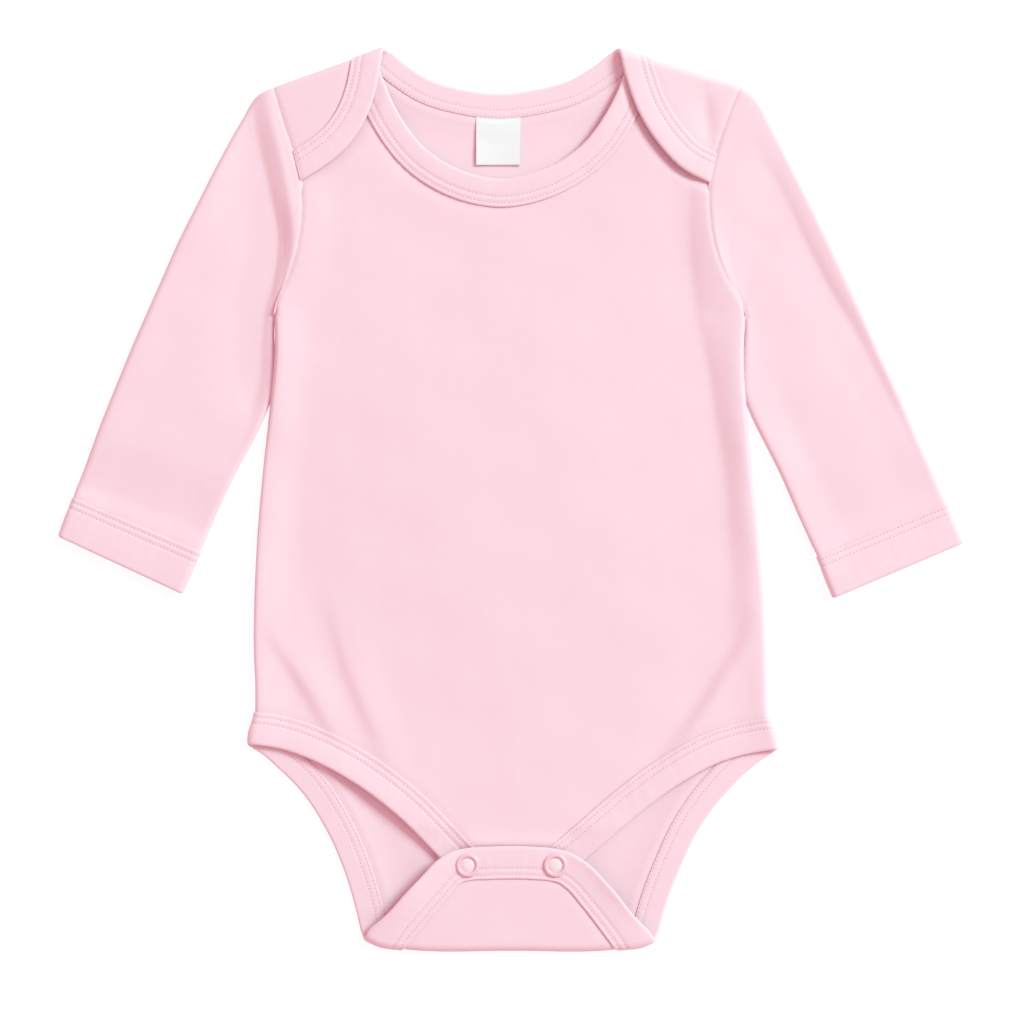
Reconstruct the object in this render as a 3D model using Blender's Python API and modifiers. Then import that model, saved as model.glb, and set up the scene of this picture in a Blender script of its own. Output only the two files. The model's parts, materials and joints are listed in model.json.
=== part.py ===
"""Baby bodysuit with long sleeves, envelope shoulders and a snapped crotch, laid flat on its back.

The garment lies on the plane z = 0, its neck towards +Y and its front towards +Z. Each piece of cloth
is drawn on the flat, then carried by a lay function to where it lies: the back panel is one piece that
folds forward at both shoulders and up at the crotch. Tables are in millimetres, X to the right and Y
towards the neck, from the middle of the garment's outline.
"""

import math

import bmesh
import bpy
import numpy as np
from mathutils import Vector
from mathutils.geometry import delaunay_2d_cdt

MM = 0.001

# Driving dimensions, in millimetres
CLOTH = 1.0  # one layer of knit
BINDING = 2.0  # a strip of knit folded double
SEAM = 0.3  # the gap between two pieces that are sewn together
ROLL = 2.6  # half the height of the flat body, and the radius of its rolled side edges
CROTCH_ROLL = 3.3  # the radius of the fold at the crotch
SHOULDER_ROLL = (2.6, 3.4)  # the radius of a shoulder fold, at the sleeve and at the neck
PROUD = 0.5  # how far a binding stands above the face of its panel
FRONT_NECK_WIDTH = 12.6
BACK_NECK_WIDTH = 13.2
LEG_WIDTH = 14.3
INNER_TURNING = 0.82  # the hidden side of a binding, as a share of its shown side
TUCK = 1.5  # how far the front panel ends short of the shoulder fold
LAP_DIP = 1.9  # how far the front panel sinks under the laps
APEX_DIP = 1.1  # and next to the neck, where the fold is higher
TAB_DIP = 2.4  # how far the front panel sinks down to its tab, under the flap
UNDER_LAPS = (114.0, 137.0)  # heights between which the front sinks under the laps
LAP_REACH = (-14.0, 1.0)  # distances outside the neck between which it sinks
APEX_REACH = (2.0, 26.0)  # distances outside the neck between which the dip deepens
ONTO_TAB = (104.0, 150.0)  # depths below the middle between which the front sinks to its tab
TAB_SIDES = (34.0, 84.0)  # distances from the crotch's middle between which that dip fades
SNAP_RING = (5.2, 3.35, 1.1)  # outer radius, inner radius, height
SNAP_PRESS = (4.2, 1.2)  # radius and height of the socket and stud, pressed together
SNAP_HOLE = 1.0  # radius of the hole down the stud
RING_BEVEL = 0.35
PRESS_BEVEL = 0.25
LABEL = (19.4, 21.2)  # width and length
LABEL_MIDDLE = -5.1
LABEL_TOP = 167.6  # the edge of the back neck binding's hidden turning
SNAPS = ((-18.5, -160.5), (20.0, -160.5))  # the middle of each snap
CUFF_ROLL = 2.4  # the radius of a sleeve's rolled edges at the cuff
ARMPIT = 80.6
ARMHOLE_STEPS = 12  # corners along each armhole
SHOULDER_END = 20.0  # how far past both its ends a shoulder fold carries the cloth

# Side edges of the body: height, left edge, right edge; above the armpits they only bound the folds
SIDES = (
    (200.0, -130.0, 130.0),
    (120.0, -114.0, 114.0),
    (100.0, -106.5, 106.5),
    (90.0, -104.3, 104.3),
    (81.0, -104.0, 104.0),
    (62.0, -104.0, 103.2),
    (39.0, -106.2, 104.6),
    (13.0, -109.0, 106.9),
    (-13.0, -111.3, 109.5),
    (-40.0, -112.7, 111.8),
    (-66.0, -113.1, 113.0),
    (-84.0, -112.4, 113.5),
    (-94.0, -112.7, 113.9),
    (-103.0, -115.0, 116.8),
    (-112.0, -115.6, 118.6),
    (-140.0, -115.6, 118.6),
)

# Where each shoulder is folded: the end at the sleeve, then the end at the neck
SHOULDER_LEFT = ((-104.1, 181.4), (-56.0, 198.4))
SHOULDER_RIGHT = ((101.5, 182.0), (47.5, 198.2))

# Armhole seams, from the shoulder to the armpit
ARMHOLE_LEFT = (
    (-104.1, 181.4),
    (-101.0, 171.2),
    (-95.3, 152.8),
    (-91.9, 139.3),
    (-91.4, 126.0),
    (-93.2, 112.0),
    (-97.4, 98.4),
    (-102.2, 88.0),
    (-104.2, 80.4),
)
ARMHOLE_RIGHT = (
    (101.5, 182.0),
    (97.1, 171.6),
    (91.2, 153.2),
    (88.0, 139.0),
    (87.9, 126.0),
    (90.0, 112.0),
    (95.2, 98.0),
    (101.6, 87.4),
    (104.2, 79.8),
)

# Free edge of the back neck, on the lower layer, from left to right
BACK_NECK = (
    (-45.6, 191.5),
    (-35.5, 185.0),
    (-20.0, 180.4),
    (-4.0, 178.6),
    (12.0, 180.6),
    (26.5, 184.6),
    (37.0, 190.7),
)

# Free edge of each lap where it lies on the front, from the sleeve to the neck
LAP_LEFT = (
    (-99.0, 135.6),
    (-91.7, 140.1),
    (-80.8, 147.1),
    (-71.2, 155.5),
    (-64.2, 165.7),
    (-59.5, 177.5),
    (-57.1, 189.0),
)
LAP_RIGHT = (
    (96.0, 135.4),
    (88.1, 139.0),
    (75.6, 145.6),
    (64.6, 157.0),
    (56.0, 171.0),
    (51.0, 185.0),
)

# Free edge of the front neck, from left to right, its ends under the laps
FRONT_NECK = (
    (-59.4, 194.8),
    (-55.5, 184.2),
    (-48.8, 169.6),
    (-37.5, 154.8),
    (-22.9, 145.5),
    (-3.6, 141.2),
    (15.6, 145.7),
    (31.6, 156.0),
    (43.3, 171.8),
    (49.8, 186.0),
    (52.6, 194.8),
)

# Free edge of the front leg openings and of the tab between them, from left to right
FRONT_LEG = (
    (-122.0, -107.7),
    (-111.8, -107.9),
    (-101.0, -109.7),
    (-86.4, -114.9),
    (-68.5, -124.6),
    (-50.0, -138.5),
    (-34.0, -154.6),
    (-27.6, -161.6),
    (-21.6, -166.2),
    (-13.8, -168.0),
    (15.4, -168.0),
    (23.2, -166.2),
    (29.2, -161.9),
    (36.4, -155.7),
    (55.5, -139.3),
    (74.0, -125.5),
    (92.6, -115.6),
    (108.0, -111.3),
    (115.0, -110.2),
    (125.0, -110.0),
)

# Free edge of the back leg openings, from the side seam to the crotch fold: height, left, right
BACK_LEG = (
    (-107.8, -122.0, 127.0),
    (-108.4, -117.0, 122.6),
    (-110.3, -112.2, 118.2),
    (-119.0, -101.4, 105.4),
    (-127.8, -92.6, 96.4),
    (-145.4, -81.0, 83.2),
    (-163.0, -73.2, 74.8),
    (-180.6, -67.9, 68.2),
    (-190.0, -65.7, 65.7),
)

# Free edge of the flap where it lies on the front, from left to right
FLAP = (
    (-62.3, -189.6),
    (-50.2, -177.7),
    (-38.1, -164.6),
    (-32.0, -158.3),
    (-26.5, -155.0),
    (-18.5, -153.0),
    (-9.8, -152.5),
    (10.7, -152.5),
    (19.0, -153.2),
    (27.5, -155.5),
    (33.5, -159.2),
    (43.6, -169.3),
    (53.7, -181.7),
    (61.8, -190.2),
)

# Crotch fold: distance from the middle, height of the outer edge of the fold
CROTCH_FOLD = ((0.0, -198.6), (44.0, -198.2), (58.0, -196.4), (66.0, -193.0), (90.0, -188.6))
CROTCH_MIDDLE = 0.6

# Sleeve sections, from the armhole to the cuff: outer edge, inner edge, share of the armhole's curve
SLEEVE_LEFT = (
    ((-104.1, 181.4), (-104.2, 80.4), 1.0),
    ((-110.3, 178.3), (-104.4, 80.0), 0.82),
    ((-118.2, 166.6), (-104.5, 79.6), 0.62),
    ((-127.6, 149.8), (-104.6, 79.2), 0.42),
    ((-137.2, 131.0), (-104.6, 78.7), 0.25),
    ((-146.4, 112.6), (-104.7, 78.0), 0.11),
    ((-153.2, 97.2), (-104.7, 73.4), 0.02),
    ((-160.2, 81.4), (-104.7, 60.6), 0.0),
    ((-167.0, 65.8), (-106.1, 43.6), 0.0),
    ((-170.6, 57.0), (-107.4, 35.5), 0.0),
    ((-174.2, 48.2), (-111.9, 27.4), 0.0),
    ((-181.2, 30.6), (-120.0, 12.2), 0.0),
    ((-187.4, 13.6), (-128.6, -6.0), 0.0),
    ((-192.4, 0.9), (-136.0, -23.2), 0.0),
)
SLEEVE_RIGHT = (
    ((101.5, 182.0), (104.2, 79.8), 1.0),
    ((108.6, 176.4), (104.4, 79.4), 0.82),
    ((114.4, 166.0), (104.5, 79.0), 0.62),
    ((122.8, 149.8), (104.5, 78.6), 0.42),
    ((132.4, 131.0), (104.5, 78.0), 0.25),
    ((141.4, 112.6), (104.5, 77.2), 0.11),
    ((148.6, 97.2), (104.3, 72.6), 0.02),
    ((155.8, 81.4), (104.1, 60.6), 0.0),
    ((162.6, 65.8), (104.9, 43.6), 0.0),
    ((166.7, 57.0), (106.4, 34.8), 0.0),
    ((170.8, 48.2), (110.6, 27.0), 0.0),
    ((178.3, 30.6), (118.4, 11.6), 0.0),
    ((186.0, 13.0), (126.6, -7.0), 0.0),
    ((192.4, -1.3), (134.8, -25.2), 0.0),
)

# Far corners of each cuff, outer and inner
CUFF_LEFT = ((-198.8, -16.3), (-144.3, -41.6))
CUFF_RIGHT = ((199.6, -19.1), (142.2, -43.5))

# Folds of the front panel: start, bend, end, half width, rise (below 0 is a trough)
FRONT_FOLDS = (
    ((88.5, 124.0), (96.0, 50.0), (101.0, -52.0), 6.5, -1.9),
    ((101.0, -58.0), (96.0, -78.0), (79.0, -97.0), 5.5, -1.5),
    ((-104.5, -59.0), (-96.0, -80.0), (-83.0, -98.0), 4.5, -1.6),
    ((-85.0, -44.0), (-74.0, -82.0), (-56.0, -112.0), 6.0, -1.8),
    ((-96.0, 112.0), (-100.0, 20.0), (-97.0, -40.0), 7.0, 0.5),
    ((-92.0, -58.0), (-82.0, -86.0), (-70.0, -104.0), 5.0, 0.4),
    ((-70.0, 134.0), (-64.0, 110.0), (-62.0, 70.0), 10.0, 0.3),
)
# Folds of each sleeve, in the same columns
SLEEVE_LEFT_FOLDS = (
    ((-106.5, 168.0), (-97.0, 128.0), (-105.5, 84.0), 5.5, -2.0),
    ((-106.0, 88.0), (-112.0, 60.0), (-112.0, 42.0), 5.0, -1.9),
    ((-136.0, 60.0), (-146.0, 40.0), (-158.0, 16.0), 9.0, -0.7),
)
SLEEVE_RIGHT_FOLDS = (
    ((109.0, 166.0), (136.0, 100.0), (172.0, 24.0), 5.5, -1.3),
    ((99.0, 84.0), (106.0, 76.0), (118.0, 66.0), 5.0, -1.6),
    ((96.0, 150.0), (93.0, 128.0), (97.0, 104.0), 5.0, 0.3),
)

ARC_STEPS = np.radians((0.0, 30.0, 60.0, 90.0, 120.0, 150.0, 180.0))
QUARTER = math.pi / 2
STATION = 5.5  # spacing of the sections along a binding
PANEL_GRID = 10.0  # spacing of the points inside the front panel
PLAIN_GRID = 20.0  # and inside the flat back panel
FOLD_POINTS = 25  # points along the line of a fold
FOLD_FADE = 0.6  # below 1 a fold keeps its depth nearer to its ends
BESIDE_ROLL = 5.0  # width of the strip beside a roll in which folds fade out
PATH_POINTS = 160  # points along a sleeve's section on the plan
FOLD_REACH = 0.6  # how far an armhole's lower edge runs into the shoulder fold
PROFILE_STEPS = 20  # flats round a snap


# ---------------------------------------------------------------------------- curves


def smooth(rows, spacing=0.5):
    """A curve through the rows' points: cubic pieces with knots at the chord lengths, evenly resampled."""
    points = np.array(rows, float)
    knots = np.concatenate([[0.0], np.cumsum(np.linalg.norm(np.diff(points, axis=0), axis=1))])
    slopes = np.gradient(points, knots, axis=0)
    fine = np.linspace(0.0, knots[-1], int(knots[-1] / spacing) + 2)
    piece = np.clip(np.searchsorted(knots, fine, side="right") - 1, 0, len(knots) - 2)
    width = (knots[piece + 1] - knots[piece])[:, None]
    t = (fine[:, None] - knots[piece][:, None]) / width
    start = (1 + 2 * t) * (1 - t) ** 2 * points[piece] + t * (1 - t) ** 2 * width * slopes[piece]
    end = t**2 * (3 - 2 * t) * points[piece + 1] - t**2 * (1 - t) * width * slopes[piece + 1]
    return start + end


def lengths(curve):
    """Distance along the curve at each of its points."""
    return np.concatenate([[0.0], np.cumsum(np.linalg.norm(np.diff(curve, axis=0), axis=1))])


def at(curve, distance):
    """Points of the curve at the given distances along it."""
    along = lengths(curve)
    return np.column_stack([np.interp(distance, along, column) for column in curve.T])


def headings(curve):
    """Direction of the curve at each of its points."""
    heading = np.gradient(curve, axis=0)
    return heading / np.linalg.norm(heading, axis=1)[:, None]


def offset(curve, distance):
    """The curve moved sideways to its left by a distance."""
    heading = headings(curve)
    return curve + distance * np.column_stack([-heading[:, 1], heading[:, 0]])


def first(curve, measure, value):
    """Distance along the curve where a measure of its points first passes a value."""
    levels = measure(curve) - value
    k = int(np.argmax(np.sign(levels) != np.sign(levels[0])))
    share = levels[k - 1] / (levels[k - 1] - levels[k])
    along = lengths(curve)
    return float(along[k - 1] + share * (along[k] - along[k - 1]))


def last(curve, measure, value):
    """Distance along the curve where the measure passes the value for the last time."""
    return float(lengths(curve)[-1] - first(curve[::-1], measure, value))


def paired(edge, width, starts, ends, spacing):
    """Matched points on a strip's free edge and on its seam, a width to the left.

    Starts and ends are (measure, value) pairs, in order along the strip, at which both lines have a
    station, so that the sections there follow the line that the measure and value give.
    """
    seam = offset(edge, width)
    matched = []
    for line in (edge, seam):
        anchors = [first(line, measure, value) for measure, value in starts]
        anchors += [last(line, measure, value) for measure, value in ends]
        matched.append(np.array(anchors))
    counts = np.maximum(1, np.round(np.diff(matched[0]) / spacing)).astype(int)
    share = np.concatenate([k + np.arange(n) / n for k, n in enumerate(counts)] + [[len(counts)]])
    places = [np.interp(share, np.arange(len(counts) + 1), anchors) for anchors in matched]
    return at(edge, places[0]), at(seam, places[1])


def beside(seam, edge):
    """The panel's line along a binding: the binding's seam, moved on by the gap."""
    across = seam - edge
    return seam + SEAM * across / np.linalg.norm(across, axis=1)[:, None]


# ---------------------------------------------------------------------------- how the cloth lies

SIDE_ROWS = smooth(SIDES)[::-1]
FOLD_ROWS = smooth(CROTCH_FOLD)


def side(height, column):
    """X of the body's left edge (column 1) or right edge (column 2) at a height."""
    return np.interp(height, SIDE_ROWS[:, 0], SIDE_ROWS[:, column])


def side_roll(points):
    """How far each flat point lies beyond the start of the rolled side edge, and on which side."""
    left = side(points[:, 1], 1) + ROLL - points[:, 0]
    right = points[:, 0] - side(points[:, 1], 2) + ROLL
    return np.maximum(np.maximum(left, right), 0.0), np.where(left > right, -1.0, 1.0)


def flat_from_side(points):
    """Flat places of points given where they lie, next to a rolled side edge."""
    beyond, hand = side_roll(points)
    unrolled = ROLL * np.arcsin(np.clip(beyond / ROLL, 0.0, 1.0))
    return points + np.column_stack([hand * (unrolled - beyond), np.zeros(len(points))])


def rolled_sides(points, depth, top):
    """X and height above the roll's middle for points on a rolled side edge."""
    beyond, hand = side_roll(points)
    angle = np.minimum(beyond / ROLL, QUARTER)
    x = points[:, 0] - hand * beyond + hand * (ROLL - depth) * np.sin(angle)
    lift = (ROLL - depth) * np.cos(angle)
    return x, top - ROLL + lift


def folds(points, rows):
    """Height of soft folds: each is a bell across a bent line, fading at both ends."""
    height = np.zeros(len(points))
    steps = np.linspace(0.0, 1.0, FOLD_POINTS)
    for start, bend, end, width, rise in rows:
        a, b, c = (np.array(p) for p in (start, bend, end))
        line = np.array([(1 - t) ** 2 * a + 2 * t * (1 - t) * b + t**2 * c for t in steps])
        apart = np.linalg.norm(points[:, None, :] - line[None, :, :], axis=2)
        nearest = apart.argmin(axis=1)
        fade = np.sin(math.pi * (nearest + 1) / (FOLD_POINTS + 1)) ** FOLD_FADE
        height += rise * fade * np.exp(-((apart.min(axis=1) / width) ** 2))
    return height


def ease(value, low, high):
    """0 below low, 1 above high, and smooth between."""
    t = np.clip((value - low) / (high - low), 0.0, 1.0)
    return t * t * (3 - 2 * t)


def inside_edge(points):
    """1 away from the rolled sides and 0 at them, so that both panels meet at the side seam."""
    beside = np.minimum(points[:, 0] - side(points[:, 1], 1), side(points[:, 1], 2) - points[:, 0])
    return ease(beside, ROLL, ROLL + BESIDE_ROLL)


def front_height(points):
    """Height of the front panel's outer face: it dips under the laps and down to the tab."""
    height = np.full(len(points), 2 * ROLL)
    height += inside_edge(points) * folds(points, FRONT_FOLDS)
    for (_, neck_end), sign in ((SHOULDER_LEFT, -1), (SHOULDER_RIGHT, 1)):
        from_neck = sign * (points[:, 0] - neck_end[0])
        under = ease(points[:, 1], *UNDER_LAPS) * ease(from_neck, *LAP_REACH)
        height -= under * (APEX_DIP + (LAP_DIP - APEX_DIP) * ease(from_neck, *APEX_REACH))
    towards_tab = ease(-points[:, 1], *ONTO_TAB)
    middle = 1 - ease(np.abs(points[:, 0] - CROTCH_MIDDLE), *TAB_SIDES)
    return height - TAB_DIP * towards_tab * middle


def lay_front(points, depth):
    """Where flat points of the front lie, at a depth below its outer face."""
    height = front_height(points)
    x, z = rolled_sides(points, depth, height)
    return np.column_stack([x, points[:, 1], z])


def shoulder_frame(shoulder):
    """Sleeve end of a shoulder fold, direction along it, outward direction and length."""
    sleeve_end, neck_end = (np.array(end) for end in shoulder)
    run = neck_end - sleeve_end
    length = np.linalg.norm(run)
    along = run / length
    out = np.array([-along[1], along[0]])
    return sleeve_end, along, out if out[1] > 0 else -out, length


def shoulder_measure(points, shoulder):
    """Place along a shoulder fold, radius of the fold there, and distance beyond its start."""
    sleeve_end, along, out, length = shoulder_frame(shoulder)
    s = (points - sleeve_end) @ along
    radius = np.interp(s / length, (0.0, 1.0), SHOULDER_ROLL)
    return s, radius, (points - sleeve_end) @ out + radius


def flat_from_lap(points, shoulder):
    """Flat places of points given where a lap lies on the front."""
    sleeve_end, along, out, _ = shoulder_frame(shoulder)
    s, radius, beyond = shoulder_measure(points, shoulder)
    unrolled = math.pi * radius - beyond
    return sleeve_end + s[:, None] * along + (unrolled - radius)[:, None] * out


def crotch_start(x):
    """Height where the back begins to turn up into the crotch fold."""
    return np.interp(np.abs(x - CROTCH_MIDDLE), FOLD_ROWS[:, 0], FOLD_ROWS[:, 1]) + CROTCH_ROLL


def flat_from_flap(points):
    """Flat places of points given where the flap lies on the front."""
    start = crotch_start(points[:, 0])
    return np.column_stack([points[:, 0], 2 * start - math.pi * CROTCH_ROLL - points[:, 1]])


def turned(radius, beyond, depth):
    """How far out a folded point lies from the start of its fold, and how high."""
    angle = np.clip(beyond / radius, 0.0, math.pi)
    after = np.maximum(beyond - math.pi * radius, 0.0)
    return (radius - depth) * np.sin(angle) - after, radius - (radius - depth) * np.cos(angle)


def lay_back(points, depth, proud=0.0):
    """Where flat points of the back lie: on the floor, round the folds, or on the front.

    Depth is below the outer face. Proud lifts a piece off that face: not at all on the floor, in
    full from the middle of a fold on.
    """
    x, rise = rolled_sides(points, depth, np.full(len(points), float(ROLL)))
    laid = np.column_stack([x, points[:, 1], ROLL - rise])
    for shoulder in (SHOULDER_LEFT, SHOULDER_RIGHT):
        _, _, out, length = shoulder_frame(shoulder)
        s, radius, beyond = shoulder_measure(points, shoulder)
        near = (beyond > 0) & (s > -SHOULDER_END) & (s < length + SHOULDER_END)
        raised = depth - proud * np.clip(beyond / (QUARTER * radius), 0.0, 1.0)
        outward, height = turned(radius, beyond, raised)
        moved = points + (outward - beyond)[:, None] * out
        laid = np.where(near[:, None], np.column_stack([moved, height]), laid)
    beyond = crotch_start(points[:, 0]) - points[:, 1]
    raised = depth - proud * np.clip(beyond / (QUARTER * CROTCH_ROLL), 0.0, 1.0)
    outward, height = turned(CROTCH_ROLL, beyond, raised)
    moved = np.column_stack([points[:, 0], points[:, 1] + beyond - outward, height])
    return np.where((beyond > 0)[:, None], moved, laid)


# ---------------------------------------------------------------------------- objects


def finish(name, colour, roughness, metallic=0.0):
    """A material of one colour."""
    material = bpy.data.materials.new(name)
    material.use_nodes = True
    shader = material.node_tree.nodes["Principled BSDF"]
    shader.inputs["Base Color"].default_value = (*colour, 1.0)
    shader.inputs["Roughness"].default_value = roughness
    shader.inputs["Metallic"].default_value = metallic
    return material


def new_object(name, vertices, faces, collection, material):
    """A mesh object whose points are given in millimetres."""
    mesh = bpy.data.meshes.new(name)
    mesh.from_pydata((np.asarray(vertices) * MM).tolist(), [], [list(map(int, f)) for f in faces])
    mesh.materials.append(material)
    mesh.shade_smooth()
    mesh.set_sharp_from_angle(angle=math.radians(40.0))
    piece = bpy.data.objects.new(name, mesh)
    collection.objects.link(piece)
    return piece


def face_outwards(piece):
    """Turns every face of a closed mesh to point out of it."""
    shape = bmesh.new()
    shape.from_mesh(piece.data)
    bmesh.ops.recalc_face_normals(shape, faces=shape.faces)
    if shape.calc_volume(signed=True) < 0:
        bmesh.ops.reverse_faces(shape, faces=shape.faces)
    shape.to_mesh(piece.data)
    shape.free()


def inside(outline, points):
    """Which points lie within a closed outline."""
    a, b = outline, np.roll(outline, -1, axis=0)
    x, y = points[:, :1], points[:, 1:]
    spans = (a[:, 1] > y) != (b[:, 1] > y)
    rise = np.where(b[:, 1] == a[:, 1], 1.0, b[:, 1] - a[:, 1])
    cuts = a[:, 0] + (y - a[:, 1]) * (b[:, 0] - a[:, 0]) / rise
    return (spans & (x < cuts)).sum(axis=1) % 2 == 1


def clear_of(points, others, distance):
    """The points that keep a distance from all the others."""
    apart = np.linalg.norm(points[:, None, :] - others[None, :, :], axis=2).min(axis=1)
    return points[apart > distance]


def panel(name, outline, creases, grid, lay, collection, material):
    """A cloth panel: its outline filled with triangles on the flat, laid, and given its thickness.

    Creases are lines that the triangles follow, such as the rows round a fold.
    """
    lines = [outline, *creases]
    low, high = outline.min(axis=0), outline.max(axis=0)
    xs = np.arange(low[0] + grid / 2, high[0], grid)
    ys = np.arange(low[1] + grid / 2, high[1], grid)
    filling = np.array([(x + (k % 2) * grid / 2, y) for k, y in enumerate(ys) for x in xs])
    filling = filling[inside(outline, filling)]
    filling = clear_of(filling, np.concatenate(lines), 0.5 * grid)
    points = np.concatenate([*lines, filling])
    edges, start = [], 0
    for line in lines:
        count = len(line)
        edges += [(start + k, start + k + 1) for k in range(count - 1)]
        if line is outline:
            edges.append((start + count - 1, start))
        start += count
    flat, _, faces, _, _, _ = delaunay_2d_cdt([Vector(p) for p in points], edges, [], 1, 0.02)
    flat = np.array([tuple(p) for p in flat])
    faces = np.array(faces)
    faces = faces[inside(outline, flat[faces].mean(axis=1))]
    used, faces = np.unique(faces, return_inverse=True)
    flat, faces = flat[used], faces.reshape(-1, 3)
    top = lay(flat, np.zeros(len(flat)))
    under = lay(flat, np.full(len(flat), CLOTH))
    ends = np.concatenate([faces[:, [0, 1]], faces[:, [1, 2]], faces[:, [2, 0]]])
    keys = {tuple(e) for e in ends.tolist()}
    rim = np.array([(a, b) for a, b in keys if (b, a) not in keys])
    count = len(flat)
    walls = np.column_stack([rim[:, 1], rim[:, 0], rim[:, 0] + count, rim[:, 1] + count])
    all_faces = faces.tolist() + (faces[:, ::-1] + count).tolist() + walls.tolist()
    piece = new_object(name, np.concatenate([top, under]), all_faces, collection, material)
    face_outwards(piece)
    return piece


def binding_section():
    """Section of a folded strip: place across it, from the fold to the panel, and depth in it.

    The shown turning runs the whole width, and the hidden one stops short of it.
    """
    return (
        (0.0, 0.35 * BINDING),
        (0.05, 0.0),
        (0.5, 0.0),
        (1.0, 0.0),
        (1.0, CLOTH),
        (INNER_TURNING, CLOTH),
        (INNER_TURNING, BINDING),
        (0.05, BINDING),
        (0.0, 0.65 * BINDING),
    )


def binding(name, edge, inner, lay, collection, material):
    """A strip of cloth from its folded edge to the panel, its section carried along the edge."""
    section = binding_section()
    rings = [lay(edge + across * (inner - edge), np.full(len(edge), depth)) for across, depth in section]
    grid = np.stack(rings, axis=1)
    piece = new_object(name, grid.reshape(-1, 3), skin(grid, True), collection, material)
    face_outwards(piece)
    return piece


# ---------------------------------------------------------------------------- seams


def armhole_line(rows, shift):
    """An armhole seam from the shoulder to the armpit, moved sideways into the body by a shift."""
    line = smooth(rows)
    into_body = 1.0 if rows[0][0] < 0 else -1.0
    return offset(line, into_body * shift)


def armhole_measure(rows):
    """A measure of flat points of the back: how far inside the armhole they lie when laid."""
    line = armhole_line(rows, SEAM / 2)[::-1]
    hand = 1.0 if rows[0][0] < 0 else -1.0

    def measure(points):
        laid = lay_back(points, np.zeros(len(points)))
        return hand * (laid[:, 0] - np.interp(laid[:, 1], line[:, 1], line[:, 0]))

    return measure


def shoulder_angle(shoulder):
    """A measure of flat points: how far round a shoulder fold they lie, in radians."""

    def measure(points):
        _, radius, beyond = shoulder_measure(points, shoulder)
        return beyond / radius

    return measure


def shoulder_distance(shoulder):
    """A measure of flat points: how far beyond the start of a shoulder fold they lie."""
    return lambda points: shoulder_measure(points, shoulder)[2]


def crotch_angle(points):
    """How far round the crotch fold flat points lie, in radians."""
    return (crotch_start(points[:, 0]) - points[:, 1]) / CROTCH_ROLL


def left_roll_angle(points):
    """How far round the left rolled side edge flat points lie, in radians."""
    return (side(points[:, 1], 1) + ROLL - points[:, 0]) / ROLL


def right_roll_angle(points):
    """How far round the right rolled side edge flat points lie, in radians."""
    return (points[:, 0] - side(points[:, 1], 2) + ROLL) / ROLL


SIDE_SEAM_ANGLE = QUARTER - SEAM / 2 / ROLL
FOLD_ANGLES = list(ARC_STEPS)
ROLL_ANGLES = [0.0, math.pi / 6, math.pi / 3, SIDE_SEAM_ANGLE]
LEFT_ROLL = [(left_roll_angle, angle) for angle in reversed(ROLL_ANGLES)]
RIGHT_ROLL = [(right_roll_angle, angle) for angle in ROLL_ANGLES]


def back_neck_strip(spacing=STATION):
    """Free edge and seam of the binding of the left lap, the back neck and the right lap."""
    left = flat_from_lap(np.array(LAP_LEFT), SHOULDER_LEFT)
    right = flat_from_lap(np.array(LAP_RIGHT), SHOULDER_RIGHT)[::-1]
    edge = smooth(np.concatenate([left, BACK_NECK, right]))
    starts = [(armhole_measure(ARMHOLE_LEFT), 0.0)]
    starts += [(shoulder_angle(SHOULDER_LEFT), angle) for angle in reversed(FOLD_ANGLES)]
    ends = [(shoulder_angle(SHOULDER_RIGHT), angle) for angle in FOLD_ANGLES]
    ends += [(armhole_measure(ARMHOLE_RIGHT), 0.0)]
    return paired(edge, -BACK_NECK_WIDTH, starts, ends, spacing)


def front_neck_strip(spacing=STATION):
    """Free edge and seam of the front neck binding."""
    starts = [(shoulder_distance(SHOULDER_LEFT), -TUCK)]
    ends = [(shoulder_distance(SHOULDER_RIGHT), -TUCK)]
    return paired(smooth(FRONT_NECK), -FRONT_NECK_WIDTH, starts, ends, spacing)


def front_leg_strip(spacing=STATION):
    """Free edge and seam of the binding of the front legs and the tab."""
    return paired(smooth(FRONT_LEG), LEG_WIDTH, LEFT_ROLL, RIGHT_ROLL, spacing)


def back_leg_strip(spacing=STATION):
    """Free edge and seam of the binding of the left back leg, the flap and the right back leg."""
    rows = np.array(BACK_LEG)
    left, right = rows[:, [1, 0]], rows[::-1][:, [2, 0]]
    edge = smooth(np.concatenate([left, flat_from_flap(np.array(FLAP)), right]))
    starts = LEFT_ROLL + [(crotch_angle, angle) for angle in FOLD_ANGLES]
    ends = [(crotch_angle, angle) for angle in reversed(FOLD_ANGLES)] + RIGHT_ROLL
    return paired(edge, LEG_WIDTH, starts, ends, spacing)


def armhole_stations(line):
    """Points of an armhole where the sleeve and the panels both have a corner."""
    total = lengths(line)[-1]
    return at(line, np.linspace(ROLL, total - ROLL, ARMHOLE_STEPS + 1))


def side_seam(column, low, high, spacing):
    """Flat line of a panel's side seam between two heights."""
    heights = np.linspace(low, high, max(2, round((high - low) / spacing)) + 1)
    sign = -1.0 if column == 1 else 1.0
    x = side(heights, column) + sign * ROLL * (SIDE_SEAM_ANGLE - 1.0)
    return np.column_stack([x, heights])


def roll_rows(low, high, spacing):
    """Creases along both rolled side edges, on the flat."""
    heights = np.linspace(low, high, round((high - low) / spacing) + 1)
    rows = []
    for angle in ROLL_ANGLES[:-1]:
        rows.append(np.column_stack([side(heights, 1) + ROLL * (1.0 - angle), heights]))
        rows.append(np.column_stack([side(heights, 2) - ROLL * (1.0 - angle), heights]))
    return rows


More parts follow.
